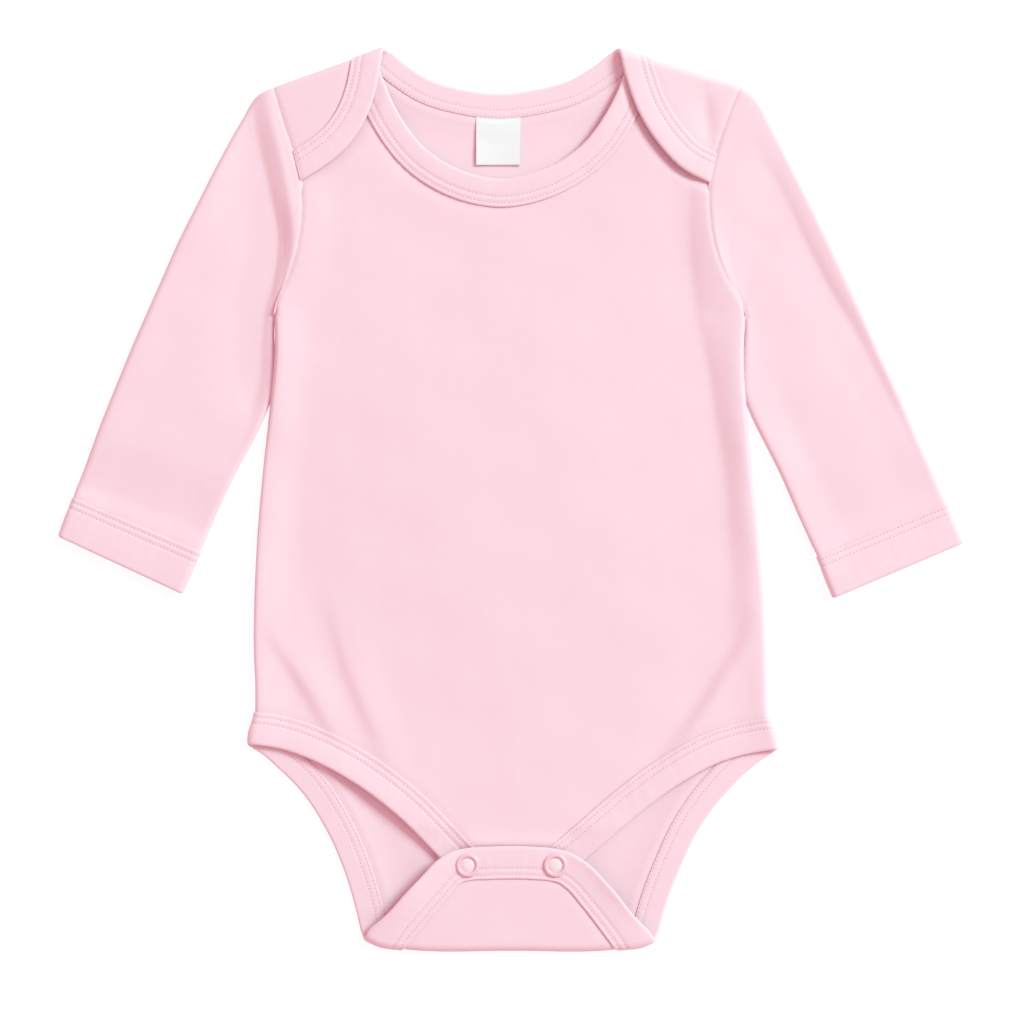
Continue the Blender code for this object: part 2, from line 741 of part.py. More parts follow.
def shoulder_rows(shoulder, spacing=12.0):
    """Creases round a shoulder fold, on the flat."""
    sleeve_end, along, out, length = shoulder_frame(shoulder)
    s = np.linspace(-4.0, length + 6.0, round(length / spacing) + 1)
    radius = np.interp(s / length, (0.0, 1.0), SHOULDER_ROLL)
    return [
        sleeve_end + s[:, None] * along + ((angle - 1.0) * radius)[:, None] * out
        for angle in FOLD_ANGLES
    ]


def crotch_rows(spacing=9.0):
    """Creases round the crotch fold, on the flat."""
    x = np.arange(-72.0, 72.1, spacing)
    return [np.column_stack([x, crotch_start(x) - angle * CROTCH_ROLL]) for angle in FOLD_ANGLES]


# ---------------------------------------------------------------------------- pieces


def body_armhole(rows, shoulder, reach):
    """Armhole edge of a panel from the armpit to a reach beyond the start of the shoulder fold."""
    points = armhole_stations(armhole_line(rows, SEAM / 2))[::-1]
    points = points[shoulder_measure(points, shoulder)[2] < reach]
    return flat_from_side(points)


def front_panel(collection, material):
    """The front: side seams, armholes, tucked shoulder ends, neck and leg seams."""
    leg = beside(*front_leg_strip()[::-1])
    neck = beside(*front_neck_strip()[::-1])
    left = body_armhole(ARMHOLE_LEFT, SHOULDER_LEFT, -TUCK)
    right = body_armhole(ARMHOLE_RIGHT, SHOULDER_RIGHT, -TUCK)
    outline = np.concatenate(
        [
            side_seam(1, leg[0, 1], ARMPIT, PANEL_GRID)[1:],
            left,
            neck,
            right[::-1],
            side_seam(2, leg[-1, 1], ARMPIT, PANEL_GRID)[:0:-1],
            leg[::-1],
        ]
    )
    creases = roll_rows(leg[0, 1] - 4.0, ARMPIT + 8.0, PANEL_GRID)
    return panel("front_panel", outline, creases, PANEL_GRID, lay_front, collection, material)


def back_panel(collection, material):
    """The back, in one piece with both shoulder laps and the crotch flap."""
    leg = beside(*back_leg_strip()[::-1])
    neck = beside(*back_neck_strip()[::-1])
    arms = []
    for rows, shoulder, corner in (
        (ARMHOLE_LEFT, SHOULDER_LEFT, neck[0]),
        (ARMHOLE_RIGHT, SHOULDER_RIGHT, neck[-1]),
    ):
        lower = body_armhole(rows, shoulder, FOLD_REACH)
        laid = armhole_stations(armhole_line(rows, SEAM / 2))
        upper = flat_from_lap(laid[shoulder_measure(laid, shoulder)[2] < FOLD_REACH], shoulder)
        short = np.linalg.norm(upper - corner, axis=1).argmin()
        arms.append(np.concatenate([lower, upper[:short]]))
    outline = np.concatenate(
        [
            side_seam(1, leg[0, 1], ARMPIT, PANEL_GRID)[1:],
            arms[0],
            neck,
            arms[1][::-1],
            side_seam(2, leg[-1, 1], ARMPIT, PANEL_GRID)[:0:-1],
            leg[::-1],
        ]
    )
    creases = roll_rows(leg[0, 1] - 4.0, ARMPIT + 8.0, 2 * PANEL_GRID)
    creases += shoulder_rows(SHOULDER_LEFT) + shoulder_rows(SHOULDER_RIGHT) + crotch_rows()
    return panel("back_panel", outline, creases, PLAIN_GRID, lay_back, collection, material)


def section_path(outer, inner, share, line):
    """One section of a sleeve on the plan: a straight run bent by a share of the armhole's curve."""
    t = np.linspace(0.0, 1.0, PATH_POINTS)[:, None]
    bent = at(line, t[:, 0] * lengths(line)[-1]) - (line[0] + t * (line[-1] - line[0]))
    return np.array(outer) + t * (np.array(inner) - np.array(outer)) + share * bent


def tube_ring(path, radius, depth, proud=0.0, creases=()):
    """A ring of a flat tube over a path on the plan, at a depth in its wall.

    It runs along the top, down the roll at the path's far end, back under, and up the near roll.
    """
    total = lengths(path)[-1]
    flat = np.linspace(radius, total - radius, ARMHOLE_STEPS + 1)
    arc = ARC_STEPS[1:-1]
    ones = np.ones(len(arc))
    distance = np.concatenate([flat, flat[-1] * ones, flat[::-1], flat[0] * ones])
    hand = np.concatenate([flat * 0, ones, flat * 0, -ones])
    angle = np.concatenate([flat * 0, arc, flat * 0 + math.pi, arc[::-1]])
    top_share = (1 + np.cos(angle)) / 2
    place = at(path, distance)
    heading = np.column_stack([np.interp(distance, lengths(path), h) for h in headings(path).T])
    reach = radius - depth + proud * top_share
    near_end = np.minimum(distance, total - distance)
    rise = folds(place, creases) * ease(near_end, radius, radius + 3.0)
    out = place + (hand * reach * np.sin(angle))[:, None] * heading
    return np.column_stack([out, radius + reach * np.cos(angle) + rise * top_share])


def skin(grid, caps):
    """Faces between neighbouring points of a grid, closed along its second way, with or without caps."""
    stops, count = grid.shape[:2]
    index = np.arange(stops * count).reshape(stops, count)
    if not caps:
        index = np.vstack([index, index[:1]])
    turned_on = np.roll(index, -1, axis=1)
    faces = np.stack([index[:-1], turned_on[:-1], turned_on[1:], index[1:]], axis=-1).reshape(-1, 4)
    faces = faces.tolist()
    return faces + [index[0][::-1].tolist(), index[-1].tolist()] if caps else faces


def sleeve(name, sections, armhole, creases, collection, material):
    """A flat tube from the armhole to the cuff, its wall one layer thick."""
    line = armhole_line(armhole, -SEAM / 2)
    rings = {0.0: [], CLOTH: []}
    for k, (outer, inner, share) in enumerate(sections):
        path = line if k == 0 else section_path(outer, inner, share, line)
        radius = np.interp(k, (0, len(sections) - 1), (ROLL, CUFF_ROLL))
        for depth, made in rings.items():
            made.append(tube_ring(path, radius, depth, 0.0, creases))
    grid = np.array(rings[0.0] + rings[CLOTH][::-1])
    piece = new_object(name, grid.reshape(-1, 3), skin(grid, False), collection, material)
    face_outwards(piece)
    return piece


def cuff(name, last_section, corners, collection, material):
    """A folded strip sewn round the end of a sleeve."""
    wrist = np.array(last_section[:2])
    rim = np.array(corners)
    axis = (rim - wrist).mean(axis=0)
    axis /= np.linalg.norm(axis)
    top = np.linspace(*(wrist + SEAM * axis), PATH_POINTS)
    bottom = np.linspace(*rim, PATH_POINTS)
    rings = []
    for across, depth in binding_section():
        path = bottom + across * (top - bottom)
        rings.append(tube_ring(path, CUFF_ROLL, depth, PROUD))
    grid = np.array(rings)
    piece = new_object(name, grid.reshape(-1, 3), skin(grid, False), collection, material)
    face_outwards(piece)
    return piece


def lay_front_binding(points, depth):
    """Where flat points of a front binding lie: a little proud of the panel."""
    return lay_front(points, depth - PROUD)


def lay_back_binding(points, depth):
    """Where flat points of a back binding lie: flush with the floor, and proud past the folds."""
    return lay_back(points, depth, PROUD)


def snap_piece(name, profile, place, base, collection, material):
    """A turned piece: its profile, in radius and height, spun about an upright axis."""
    mesh = bpy.data.meshes.new(name)
    points = [(radius * MM, 0.0, height * MM) for radius, height in profile]
    count = len(points)
    mesh.from_pydata(points, [(k, (k + 1) % count) for k in range(count)], [])
    mesh.materials.append(material)
    piece = bpy.data.objects.new(name, mesh)
    piece.location = (place[0] * MM, place[1] * MM, base * MM)
    collection.objects.link(piece)
    screw = piece.modifiers.new("turned", "SCREW")
    screw.steps = screw.render_steps = PROFILE_STEPS
    screw.use_merge_vertices = True
    screw.merge_threshold = 0.00002
    screw.use_normal_calculate = True
    return piece


def snaps(collection, enamel, steel):
    """Two closed snaps: the open ring on the flap, and the socket and stud pressed together."""
    outer, inner, height = SNAP_RING
    press_radius, press_height = SNAP_PRESS
    ring = (
        (outer, 0.0),
        (outer, height - RING_BEVEL),
        (outer - RING_BEVEL, height),
        (inner + RING_BEVEL, height),
        (inner, height - RING_BEVEL),
        (inner, 0.0),
    )
    press = (
        (press_radius, PRESS_BEVEL),
        (press_radius, press_height - PRESS_BEVEL),
        (press_radius - PRESS_BEVEL, press_height),
        (SNAP_HOLE, press_height),
        (SNAP_HOLE, 0.0),
        (press_radius - PRESS_BEVEL, 0.0),
    )
    flap_face = 2 * CROTCH_ROLL + PROUD
    tab_face = float(front_height(np.array([SNAPS[0]]))[0]) + PROUD
    for side_name, place in zip(("left", "right"), SNAPS):
        snap_piece(f"snap_ring_{side_name}", ring, place, flap_face + SEAM, collection, enamel)
        snap_piece(f"snap_press_{side_name}", press, place, tab_face + SEAM, collection, steel)


def neck_label(collection, material):
    """A blank folded ribbon, its top at the edge of the back neck binding's hidden turning."""
    width, length = LABEL
    top = LABEL_TOP - SEAM
    bpy.ops.mesh.primitive_cube_add(size=1.0)
    piece = bpy.context.object
    piece.name = piece.data.name = "neck_label"
    for owner in list(piece.users_collection):
        owner.objects.unlink(piece)
    collection.objects.link(piece)
    middle = Vector((LABEL_MIDDLE, top - length / 2, CLOTH + SEAM + CLOTH / 2)) * MM
    for vertex in piece.data.vertices:
        vertex.co = Vector((vertex.co.x * width, vertex.co.y * length, vertex.co.z * CLOTH)) * MM
    piece.location = middle
    piece.data.materials.append(material)
    rounded = piece.modifiers.new("soft edges", "BEVEL")
    rounded.width = 0.2 * MM
    rounded.segments = 1
    return piece


def main():
    for leftover in list(bpy.data.objects):
        bpy.data.objects.remove(leftover, do_unlink=True)
    suit = bpy.data.collections.new("baby_bodysuit")
    bpy.context.scene.collection.children.link(suit)
    knit = finish("pink_interlock", (0.93, 0.70, 0.76), 0.85)
    strip = finish("pink_binding", (0.92, 0.68, 0.74), 0.85)
    ribbon = finish("white_ribbon", (0.92, 0.92, 0.92), 0.6)
    enamel = finish("pink_enamel", (0.90, 0.68, 0.74), 0.35)
    steel = finish("plated_steel", (0.70, 0.70, 0.72), 0.3, 1.0)
    back_panel(suit, knit)
    front_panel(suit, knit)
    sleeve("sleeve_left", SLEEVE_LEFT, ARMHOLE_LEFT, SLEEVE_LEFT_FOLDS, suit, knit)
    sleeve("sleeve_right", SLEEVE_RIGHT, ARMHOLE_RIGHT, SLEEVE_RIGHT_FOLDS, suit, knit)
    cuff("cuff_left", SLEEVE_LEFT[-1], CUFF_LEFT, suit, strip)
    cuff("cuff_right", SLEEVE_RIGHT[-1], CUFF_RIGHT, suit, strip)
    binding("front_neck_binding", *front_neck_strip(), lay_front_binding, suit, strip)
    binding("back_neck_binding", *back_neck_strip(), lay_back_binding, suit, strip)
    binding("front_leg_binding", *front_leg_strip(), lay_front_binding, suit, strip)
    binding("back_leg_binding", *back_leg_strip(), lay_back_binding, suit, strip)
    snaps(suit, enamel, steel)
    neck_label(suit, ribbon)


main()
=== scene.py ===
# %% [markdown]
# # A baby bodysuit, laid flat
#
# The real bodysuit is a dozen pieces of soft cotton knit. A front and a back are sewn together at the
# sides, two sleeves are set into the armholes, and every raw edge is wrapped in a folded strip that is
# held by two rows of stitches. The back is longer than the front at both ends: it folds forward over
# the shoulders as two laps, and up at the crotch as a flap that snaps onto the front.
#
# Each piece is drawn flat, as a cutter would lay it on the table, and a "lay" function then says where
# each of its points comes to rest. The folds are part of that function, so the cloth is bent and never
# stretched, and whatever is sewn to a piece follows it.

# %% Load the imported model
import json
import math

import bpy
import numpy as np
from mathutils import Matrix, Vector
from mathutils.geometry import delaunay_2d_cdt

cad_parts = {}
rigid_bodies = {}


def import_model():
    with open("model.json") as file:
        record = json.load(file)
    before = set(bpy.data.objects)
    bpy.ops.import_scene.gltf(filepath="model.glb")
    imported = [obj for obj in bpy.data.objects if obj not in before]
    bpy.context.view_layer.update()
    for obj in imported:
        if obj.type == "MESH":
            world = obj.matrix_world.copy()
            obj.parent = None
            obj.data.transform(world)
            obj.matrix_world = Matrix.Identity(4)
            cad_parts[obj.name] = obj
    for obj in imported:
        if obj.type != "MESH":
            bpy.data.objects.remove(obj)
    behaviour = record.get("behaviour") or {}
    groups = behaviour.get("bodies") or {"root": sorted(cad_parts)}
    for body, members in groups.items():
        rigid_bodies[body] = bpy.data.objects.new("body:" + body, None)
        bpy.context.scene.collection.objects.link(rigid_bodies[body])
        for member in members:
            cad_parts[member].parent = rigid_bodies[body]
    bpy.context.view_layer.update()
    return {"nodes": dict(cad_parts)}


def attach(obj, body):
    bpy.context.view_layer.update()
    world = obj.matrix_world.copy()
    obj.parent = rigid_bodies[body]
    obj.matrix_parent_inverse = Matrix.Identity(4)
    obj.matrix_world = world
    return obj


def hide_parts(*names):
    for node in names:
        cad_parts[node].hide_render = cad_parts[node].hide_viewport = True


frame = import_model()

# %% [markdown]
# ## Sizes
#
# Everything is drawn in millimetres and made metres only when a mesh is built. X runs to the right, Y
# towards the neck and Z up from the table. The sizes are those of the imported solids, so that each piece
# lies in the space of its own solid, and a few finer ones are added for what the solids leave plain.

# %% Sizes in millimetres
MM = 0.001
KNIT = 0.9  # one layer of interlock
STRIP = 0.6  # one layer of a binding, which is stretched as it is sewn on
ROLL = 2.6  # half the height of the flat body, and the radius of its folded sides
CROTCH_ROLL = 3.3
SHOULDER_ROLL = (2.6, 3.4)  # at the sleeve and at the neck
CUFF_ROLL = 2.4
FRONT_NECK_WIDTH = 12.6
BACK_NECK_WIDTH = 13.2
LEG_WIDTH = 14.3
HIDDEN_SHARE = 0.82  # the hidden side of a binding, as a share of its shown side
TUCK = 1.5  # how far the front ends short of the shoulder fold
EDGE_IN_BINDING = 5.0  # how far a panel's edge lies inside the fold of its binding
QUARTER = math.pi / 2
SNAPS = np.array(((-18.5, -160.5), (20.0, -160.5)))
CROTCH_MIDDLE = 0.6

# %% [markdown]
# ## The outlines
#
# Short tables hold the shape of the garment. Each row is one point, placed where the edge
# changes its bend, and a smooth curve is drawn through the rows.

# %% Tables of the outlines
# Side edges of the body: height, left edge, right edge
SIDES = (
    (200.0, -130.0, 130.0), (120.0, -114.0, 114.0), (100.0, -106.5, 106.5), (90.0, -104.3, 104.3),
    (81.0, -104.0, 104.0), (62.0, -104.0, 103.2), (39.0, -106.2, 104.6), (13.0, -109.0, 106.9),
    (-13.0, -111.3, 109.5), (-40.0, -112.7, 111.8), (-66.0, -113.1, 113.0), (-84.0, -112.4, 113.5),
    (-94.0, -112.7, 113.9), (-103.0, -115.0, 116.8), (-112.0, -115.6, 118.6), (-140.0, -115.6, 118.6),
)
ARMPIT = 80.6

# Where each shoulder is folded: the end at the sleeve, then the end at the neck
SHOULDER_LEFT = ((-104.1, 181.4), (-56.0, 198.4))
SHOULDER_RIGHT = ((101.5, 182.0), (47.5, 198.2))
SHOULDERS = (SHOULDER_LEFT, SHOULDER_RIGHT)
SHOULDER_END = 20.0  # how far past both its ends a shoulder fold carries the cloth

# Armhole seams, from the shoulder to the armpit
ARMHOLE_LEFT = (
    (-104.1, 181.4), (-101.0, 171.2), (-95.3, 152.8), (-91.9, 139.3), (-91.4, 126.0), (-93.2, 112.0),
    (-97.4, 98.4), (-102.2, 88.0), (-104.2, 80.4),
)
ARMHOLE_RIGHT = (
    (101.5, 182.0), (97.1, 171.6), (91.2, 153.2), (88.0, 139.0), (87.9, 126.0), (90.0, 112.0),
    (95.2, 98.0), (101.6, 87.4), (104.2, 79.8),
)
ARMHOLES = (ARMHOLE_LEFT, ARMHOLE_RIGHT)

# Free edge of the back neck, from left to right
BACK_NECK = (
    (-45.6, 191.5), (-35.5, 185.0), (-20.0, 180.4), (-4.0, 178.6), (12.0, 180.6), (26.5, 184.6),
    (37.0, 190.7),
)

# Free edge of each lap where it lies on the front, from the sleeve to the neck
LAP_LEFT = (
    (-99.0, 135.6), (-91.7, 140.1), (-80.8, 147.1), (-71.2, 155.5), (-64.2, 165.7), (-59.5, 177.5),
    (-57.1, 189.0),
)
LAP_RIGHT = (
    (96.0, 135.4), (88.1, 139.0), (75.6, 145.6), (64.6, 157.0), (56.0, 171.0), (51.0, 185.0),
)

# Free edge of the front neck, from left to right
FRONT_NECK = (
    (-59.4, 194.8), (-55.5, 184.2), (-48.8, 169.6), (-37.5, 154.8), (-22.9, 145.5), (-3.6, 141.2),
    (15.6, 145.7), (31.6, 156.0), (43.3, 171.8), (49.8, 186.0), (52.6, 194.8),
)

# Free edge of the front leg openings and of the tab between them, from left to right
FRONT_LEG = (
    (-122.0, -107.7), (-111.8, -107.9), (-101.0, -109.7), (-86.4, -114.9), (-68.5, -124.6),
    (-50.0, -138.5), (-34.0, -154.6), (-27.6, -161.6), (-21.6, -166.2), (-13.8, -168.0), (15.4, -168.0),
    (23.2, -166.2), (29.2, -161.9), (36.4, -155.7), (55.5, -139.3), (74.0, -125.5), (92.6, -115.6),
    (108.0, -111.3), (115.0, -110.2), (125.0, -110.0),
)

# Free edge of the back leg openings, from the side seam to the crotch fold: height, left, right
BACK_LEG = (
    (-107.8, -122.0, 127.0), (-108.4, -117.0, 122.6), (-110.3, -112.2, 118.2), (-119.0, -101.4, 105.4),
    (-127.8, -92.6, 96.4), (-145.4, -81.0, 83.2), (-163.0, -73.2, 74.8), (-180.6, -67.9, 68.2),
    (-190.0, -65.7, 65.7),
)

# Free edge of the flap where it lies on the front, from left to right
FLAP = (
    (-62.3, -189.6), (-50.2, -177.7), (-38.1, -164.6), (-32.0, -158.3), (-26.5, -155.0),
    (-18.5, -153.0), (-9.8, -152.5), (10.7, -152.5), (19.0, -153.2), (27.5, -155.5), (33.5, -159.2),
    (43.6, -169.3), (53.7, -181.7), (61.8, -190.2),
)

# Crotch fold: distance from the middle, height of the outer edge of the fold
CROTCH_FOLD = ((0.0, -198.6), (44.0, -198.2), (58.0, -196.4), (66.0, -193.0), (90.0, -188.6))

# Sleeve sections, from the armhole to the cuff: outer edge, inner edge, share of the armhole's curve
SLEEVE_LEFT = (
    ((-104.1, 181.4), (-104.2, 80.4), 1.0),
    ((-110.3, 178.3), (-103.9, 80.1), 0.82),
    ((-118.2, 166.6), (-103.6, 79.8), 0.62),
    ((-127.6, 149.8), (-103.4, 79.4), 0.42),
    ((-137.2, 131.0), (-103.4, 78.9), 0.25),
    ((-146.4, 112.6), (-103.4, 78.0), 0.11),
    ((-153.2, 97.2), (-103.6, 73.4), 0.02),
    ((-160.2, 81.4), (-103.3, 60.6), 0.0),
    ((-167.0, 65.8), (-104.6, 44.6), 0.0),
    ((-170.6, 57.0), (-108.1, 35.5), 0.0),
    ((-174.2, 48.2), (-111.9, 27.4), 0.0),
    ((-181.2, 30.6), (-120.0, 12.2), 0.0),
    ((-187.4, 13.6), (-128.6, -6.0), 0.0),
    ((-192.4, 0.9), (-136.0, -23.2), 0.0),
)
SLEEVE_RIGHT = (
    ((101.5, 182.0), (104.2, 79.8), 1.0),
    ((108.6, 176.4), (103.8, 79.5), 0.82),
    ((114.4, 166.0), (103.4, 79.1), 0.62),
    ((122.8, 149.8), (103.2, 78.7), 0.42),
    ((132.4, 131.0), (103.2, 78.2), 0.25),
    ((141.4, 112.6), (103.1, 77.2), 0.11),
    ((148.6, 97.2), (103.0, 72.6), 0.02),
    ((155.8, 81.4), (102.3, 60.6), 0.0),
    ((162.6, 65.8), (103.0, 44.6), 0.0),
    ((166.7, 57.0), (106.7, 34.8), 0.0),
    ((170.8, 48.2), (110.6, 27.0), 0.0),
    ((178.3, 30.6), (118.4, 11.6), 0.0),
    ((186.0, 13.0), (126.6, -7.0), 0.0),
    ((192.4, -1.3), (134.8, -25.2), 0.0),
)

# Far corners of each cuff, outer and inner
CUFF_LEFT = ((-198.8, -16.3), (-144.3, -41.6))
CUFF_RIGHT = ((199.6, -19.1), (142.2, -43.5))

# %% [markdown]
# ## Curves
#
# A smooth curve through a table's rows is made of cubic pieces, one between each two rows, whose slopes
# agree where they meet. It is then sampled every half millimetre, and the other helpers measure it,
# move it sideways or find a place on it.

# %% Curve helpers
FINE, COARSE = 0.5, 1.5  # spacing of the points on a curve, and where that would be wasteful


def smooth(rows, spacing=FINE):
    """A curve through the rows: cubic pieces with knots at the chord lengths, evenly resampled."""
    points = np.array(rows, float)
    knots = np.concatenate([[0.0], np.cumsum(np.linalg.norm(np.diff(points, axis=0), axis=1))])
    slopes = np.gradient(points, knots, axis=0)
    fine = np.linspace(0.0, knots[-1], int(knots[-1] / spacing) + 2)
    piece = np.clip(np.searchsorted(knots, fine, side="right") - 1, 0, len(knots) - 2)
    width = (knots[piece + 1] - knots[piece])[:, None]
    t = (fine[:, None] - knots[piece][:, None]) / width
    start = (1 + 2 * t) * (1 - t) ** 2 * points[piece] + t * (1 - t) ** 2 * width * slopes[piece]
    end = t**2 * (3 - 2 * t) * points[piece + 1] - t**2 * (1 - t) * width * slopes[piece + 1]
    return start + end


def lengths(curve):
    """Distance along the curve at each of its points."""
    return np.concatenate([[0.0], np.cumsum(np.linalg.norm(np.diff(curve, axis=0), axis=1))])


def at(curve, distance):
    """Points of the curve at the given distances along it."""
    along = lengths(curve)
    return np.column_stack([np.interp(distance, along, column) for column in curve.T])


def headings(curve):
    """Direction of the curve at each of its points."""
    heading = np.gradient(curve, axis=0)
    return heading / np.linalg.norm(heading, axis=1)[:, None]


def offset(curve, distance):
    """The flat curve moved sideways to its left by a distance."""
    heading = headings(curve)
    return curve + distance * np.column_stack([-heading[:, 1], heading[:, 0]])


def first(curve, measure, value):
    """Distance along the curve where a measure of its points first passes a value."""
    levels = measure(curve) - value
    k = int(np.argmax(np.sign(levels) != np.sign(levels[0])))
    share = levels[k - 1] / (levels[k - 1] - levels[k])
    along = lengths(curve)
    return float(along[k - 1] + share * (along[k] - along[k - 1]))


def last(curve, measure, value):
    """Distance along the curve where the measure passes the value for the last time."""
    return float(lengths(curve)[-1] - first(curve[::-1], measure, value))


def nearest(points, line, batch=4000):
    """Distance from each point to the nearest point of a line, and that point's index."""
    gaps, places = np.empty(len(points)), np.empty(len(points), int)
    for start in range(0, len(points), batch):
        apart = np.linalg.norm(points[start : start + batch, None] - line[None], axis=2)
        gaps[start : start + batch] = apart.min(axis=1)
        places[start : start + batch] = apart.argmin(axis=1)
    return gaps, places


def beside(points, line):
    """Distance of each point from a line, its side (1 left of the line, -1 right), and its place."""
    gap, place = nearest(points, line)
    heading, away = headings(line)[place], points - line[place]
    cross = heading[:, 0] * away[:, 1] - heading[:, 1] * away[:, 0]
    return gap, np.where(cross > 0, 1.0, -1.0), place


def ease(value, low, high):
    """0 below low, 1 above high, and smooth between."""
    t = np.clip((value - low) / (high - low), 0.0, 1.0)
    return t * t * (3 - 2 * t)


def bell(distance, width):
    """1 at no distance and falling off smoothly: the width is where 37% is left."""
    return np.exp(-((distance / width) ** 2))


SIDE_ROWS = smooth(SIDES)[::-1]
FOLD_ROWS = smooth(CROTCH_FOLD)
print("front neck edge:", round(lengths(smooth(FRONT_NECK))[-1]), "mm")

# %% [markdown]
# ## Creases
#
# Laid down by hand, a knit garment keeps soft troughs and ridges: its folded sides stand up a little,
# its middle sinks, and spare cloth gathers beside the armholes and above the leg openings. Each crease
# is one row of a table: the points of its line, how far it reaches to the left and to the right of that
# line, how high it stands, and how round its crest is. A long, gentle reach on one side and a short,
# steep one on the other is what makes a crease read as cloth.

# %% Tables of the creases
# Creases: points of the line, reach to its left and to its right, rise (below 0 it sinks), roundness
FRONT_CREASES = (
    # along the right side, from the lap to the leg opening: a hollow, and the edge that stands up beside it
    (
        ((80, 186), (79, 150), (78, 118), (79, 96), (81.5, 75), (86.5, 53), (90.5, 31), (94, 9),
         (95.5, -13), (97, -40), (98, -68)),
        4, 34, -2.1, 2.6,
    ),
    (
        ((95, 96), (97.5, 75), (99.5, 53), (101.5, 31), (103.8, 9), (105.5, -13), (107, -40),
         (107.5, -62)),
        7, 5, 1.1, 2.5,
    ),
    # from there inwards to the leg band, and a short one beside it
    (((105, -46), (97, -64), (89, -77), (79.5, -92), (54, -124)), 3.4, 10, -1.9, 2),
    (((111, -48), (103, -66), (95, -79), (85.5, -94), (61, -126)), 7, 3.4, 1.4, 2),
    (((103, -70), (105, -82), (104, -96)), 3, 4, -0.4, 1.5),
    # the edges of both armholes stand up
    (((-101, 98), (-94, 112), (-91.4, 126), (-91.6, 142)), 6, 9, 1, 2),
    (((89.6, 143), (89.4, 126), (91.6, 111), (97, 96), (102, 85)), 4, 5, 0.9, 1.8),
    # and the left side where the sleeve slides in under it
    (((-99.5, 96), (-101.5, 80), (-101.5, 60), (-103.5, 40), (-106, 20)), 12, 6, 1.5, 2.5),
    # a shallow hollow along the left side
    (
        ((-89, 62), (-91, 30), (-92.5, 0), (-91.5, -22), (-87.5, -42), (-82, -60), (-76, -78),
         (-69, -94), (-60, -112), (-48, -134)),
        30, 12, -1.9, 4,
    ),
    # two ridges that run down to the left leg opening, each with a hollow before it
    (
        ((-108, -51), (-100, -64.5), (-95.5, -71.5), (-90.5, -79.5), (-81.5, -94.5), (-71, -112)),
        14, 2.8, 1.2, 2.2,
    ),
    (
        ((-112, -54), (-105.5, -65.5), (-101, -72.5), (-96, -80.5), (-87, -95.5), (-77, -112)),
        2.8, 11, -1.1, 2.2,
    ),
    (((-80, -34), (-77, -50), (-73.5, -65), (-68, -80), (-61.5, -95), (-48, -126)), 13, 3, 1.1, 2.4),
    (((-86, -34), (-83.5, -50), (-79.5, -65), (-74, -80), (-67.5, -95), (-54, -126)), 3, 13, -0.7, 2.4),
    (((-64, -40), (-60, -62), (-53, -82), (-45, -102), (-32, -128)), 30, 12, -0.9, 3),
    # the left edge of the leg opening stands up
    (((-118, -106), (-98, -109), (-72, -123), (-44, -147), (-26, -160)), 13, 8, 1.6, 3),
    # where the front dives under the edge of the neck binding
    (((-66, 176), (-58, 159.5), (-45, 144), (-28, 133), (-4, 128.2), (24, 134)), 1, 2.4, -0.6, 0.5),
    # a bulge above the flap, before the front dives under the flap's edge
    (((-30, -154), (-14, -151.3), (0, -150.8), (15, -151.3), (31, -154)), 5, 0.9, 1, 0.6),
    # low swells in the middle
    (((-56, 128), (-20, 110), (20, 114)), 14, 18, -0.3, 14),
    (((-24, -60), (-4, -100), (6, -140)), 26, 26, -0.3, 20),
)
SLEEVE_LEFT_CREASES = (
    # the hollow beside the armhole seam and the body's edge, and the ridge along the seam
    (
        ((-117.5, 208), (-113.4, 170), (-110.3, 150), (-107, 132), (-105.2, 116), (-107, 100),
         (-111, 86), (-112.6, 72), (-112.8, 58), (-113.4, 42), (-118.4, 24), (-127, 2)),
        3.8, 15, -3.8, 3,
    ),
    (((-106.5, 98), (-110.5, 86), (-112.8, 72), (-113, 58), (-113.5, 44), (-117, 32)), 8.5, 5, -1.3, 1.6),
    (
        ((-109, 204), (-104.8, 170), (-100.3, 150), (-96.8, 132), (-95, 116), (-98.4, 101),
         (-103.5, 86)),
        3, 3, 1, 1.3,
    ),
    # the edge that slides in under the body
    (((-103.6, 84), (-103.4, 72), (-103.2, 58), (-104.6, 46), (-107, 37)), 1.6, 1.6, -0.4, 0.6),
)
SLEEVE_RIGHT_CREASES = (
    # the hollow inside the outer edge
    (
        ((103, 167), (108.5, 154), (119, 136), (128, 117), (139, 95), (152, 73), (165, 48), (176, 26),
         (184, 6)),
        3, 16, -1.7, 1.6,
    ),
    # the edge that slides in under the body, and a hollow beside the armpit
    (((103.2, 84), (102.8, 72), (102.4, 60), (103.4, 46), (106, 37)), 1.6, 1.6, -0.2, 0.6),
    (((106.5, 96), (108.5, 78), (109, 60), (111, 44)), 6, 5, -0.7, 2.5),
    (((114, 56), (121, 40), (130, 20), (140, 2), (150, -20)), 12, 5, -0.6, 3),
)
# Creases of the parts that are folded over, by where they come to lie
FOLDED_CREASES = (
    # the right lap stands up along its edge, and dips beside the armhole seam
    (((49, 197), (53, 180), (61, 162), (72, 148.5), (88, 138.5)), 12, 12, 1.5, 6),
    (((85.5, 184), (86.5, 168), (89, 150)), 3, 5, -1.6, 1.5),
    (((-57, 190), (-63, 168), (-74, 152), (-92, 141)), 9, 9, -0.4, 6),
    # the flap's edge stands up on both sides
    (((-64, -193), (-48, -176), (-34, -160.5), (-20, -153.5)), 4, 6, 2.6, 2),
    (((22, -154), (34.5, -160), (45, -171), (62, -191)), 4, 3.6, 1.7, 1.2),
)
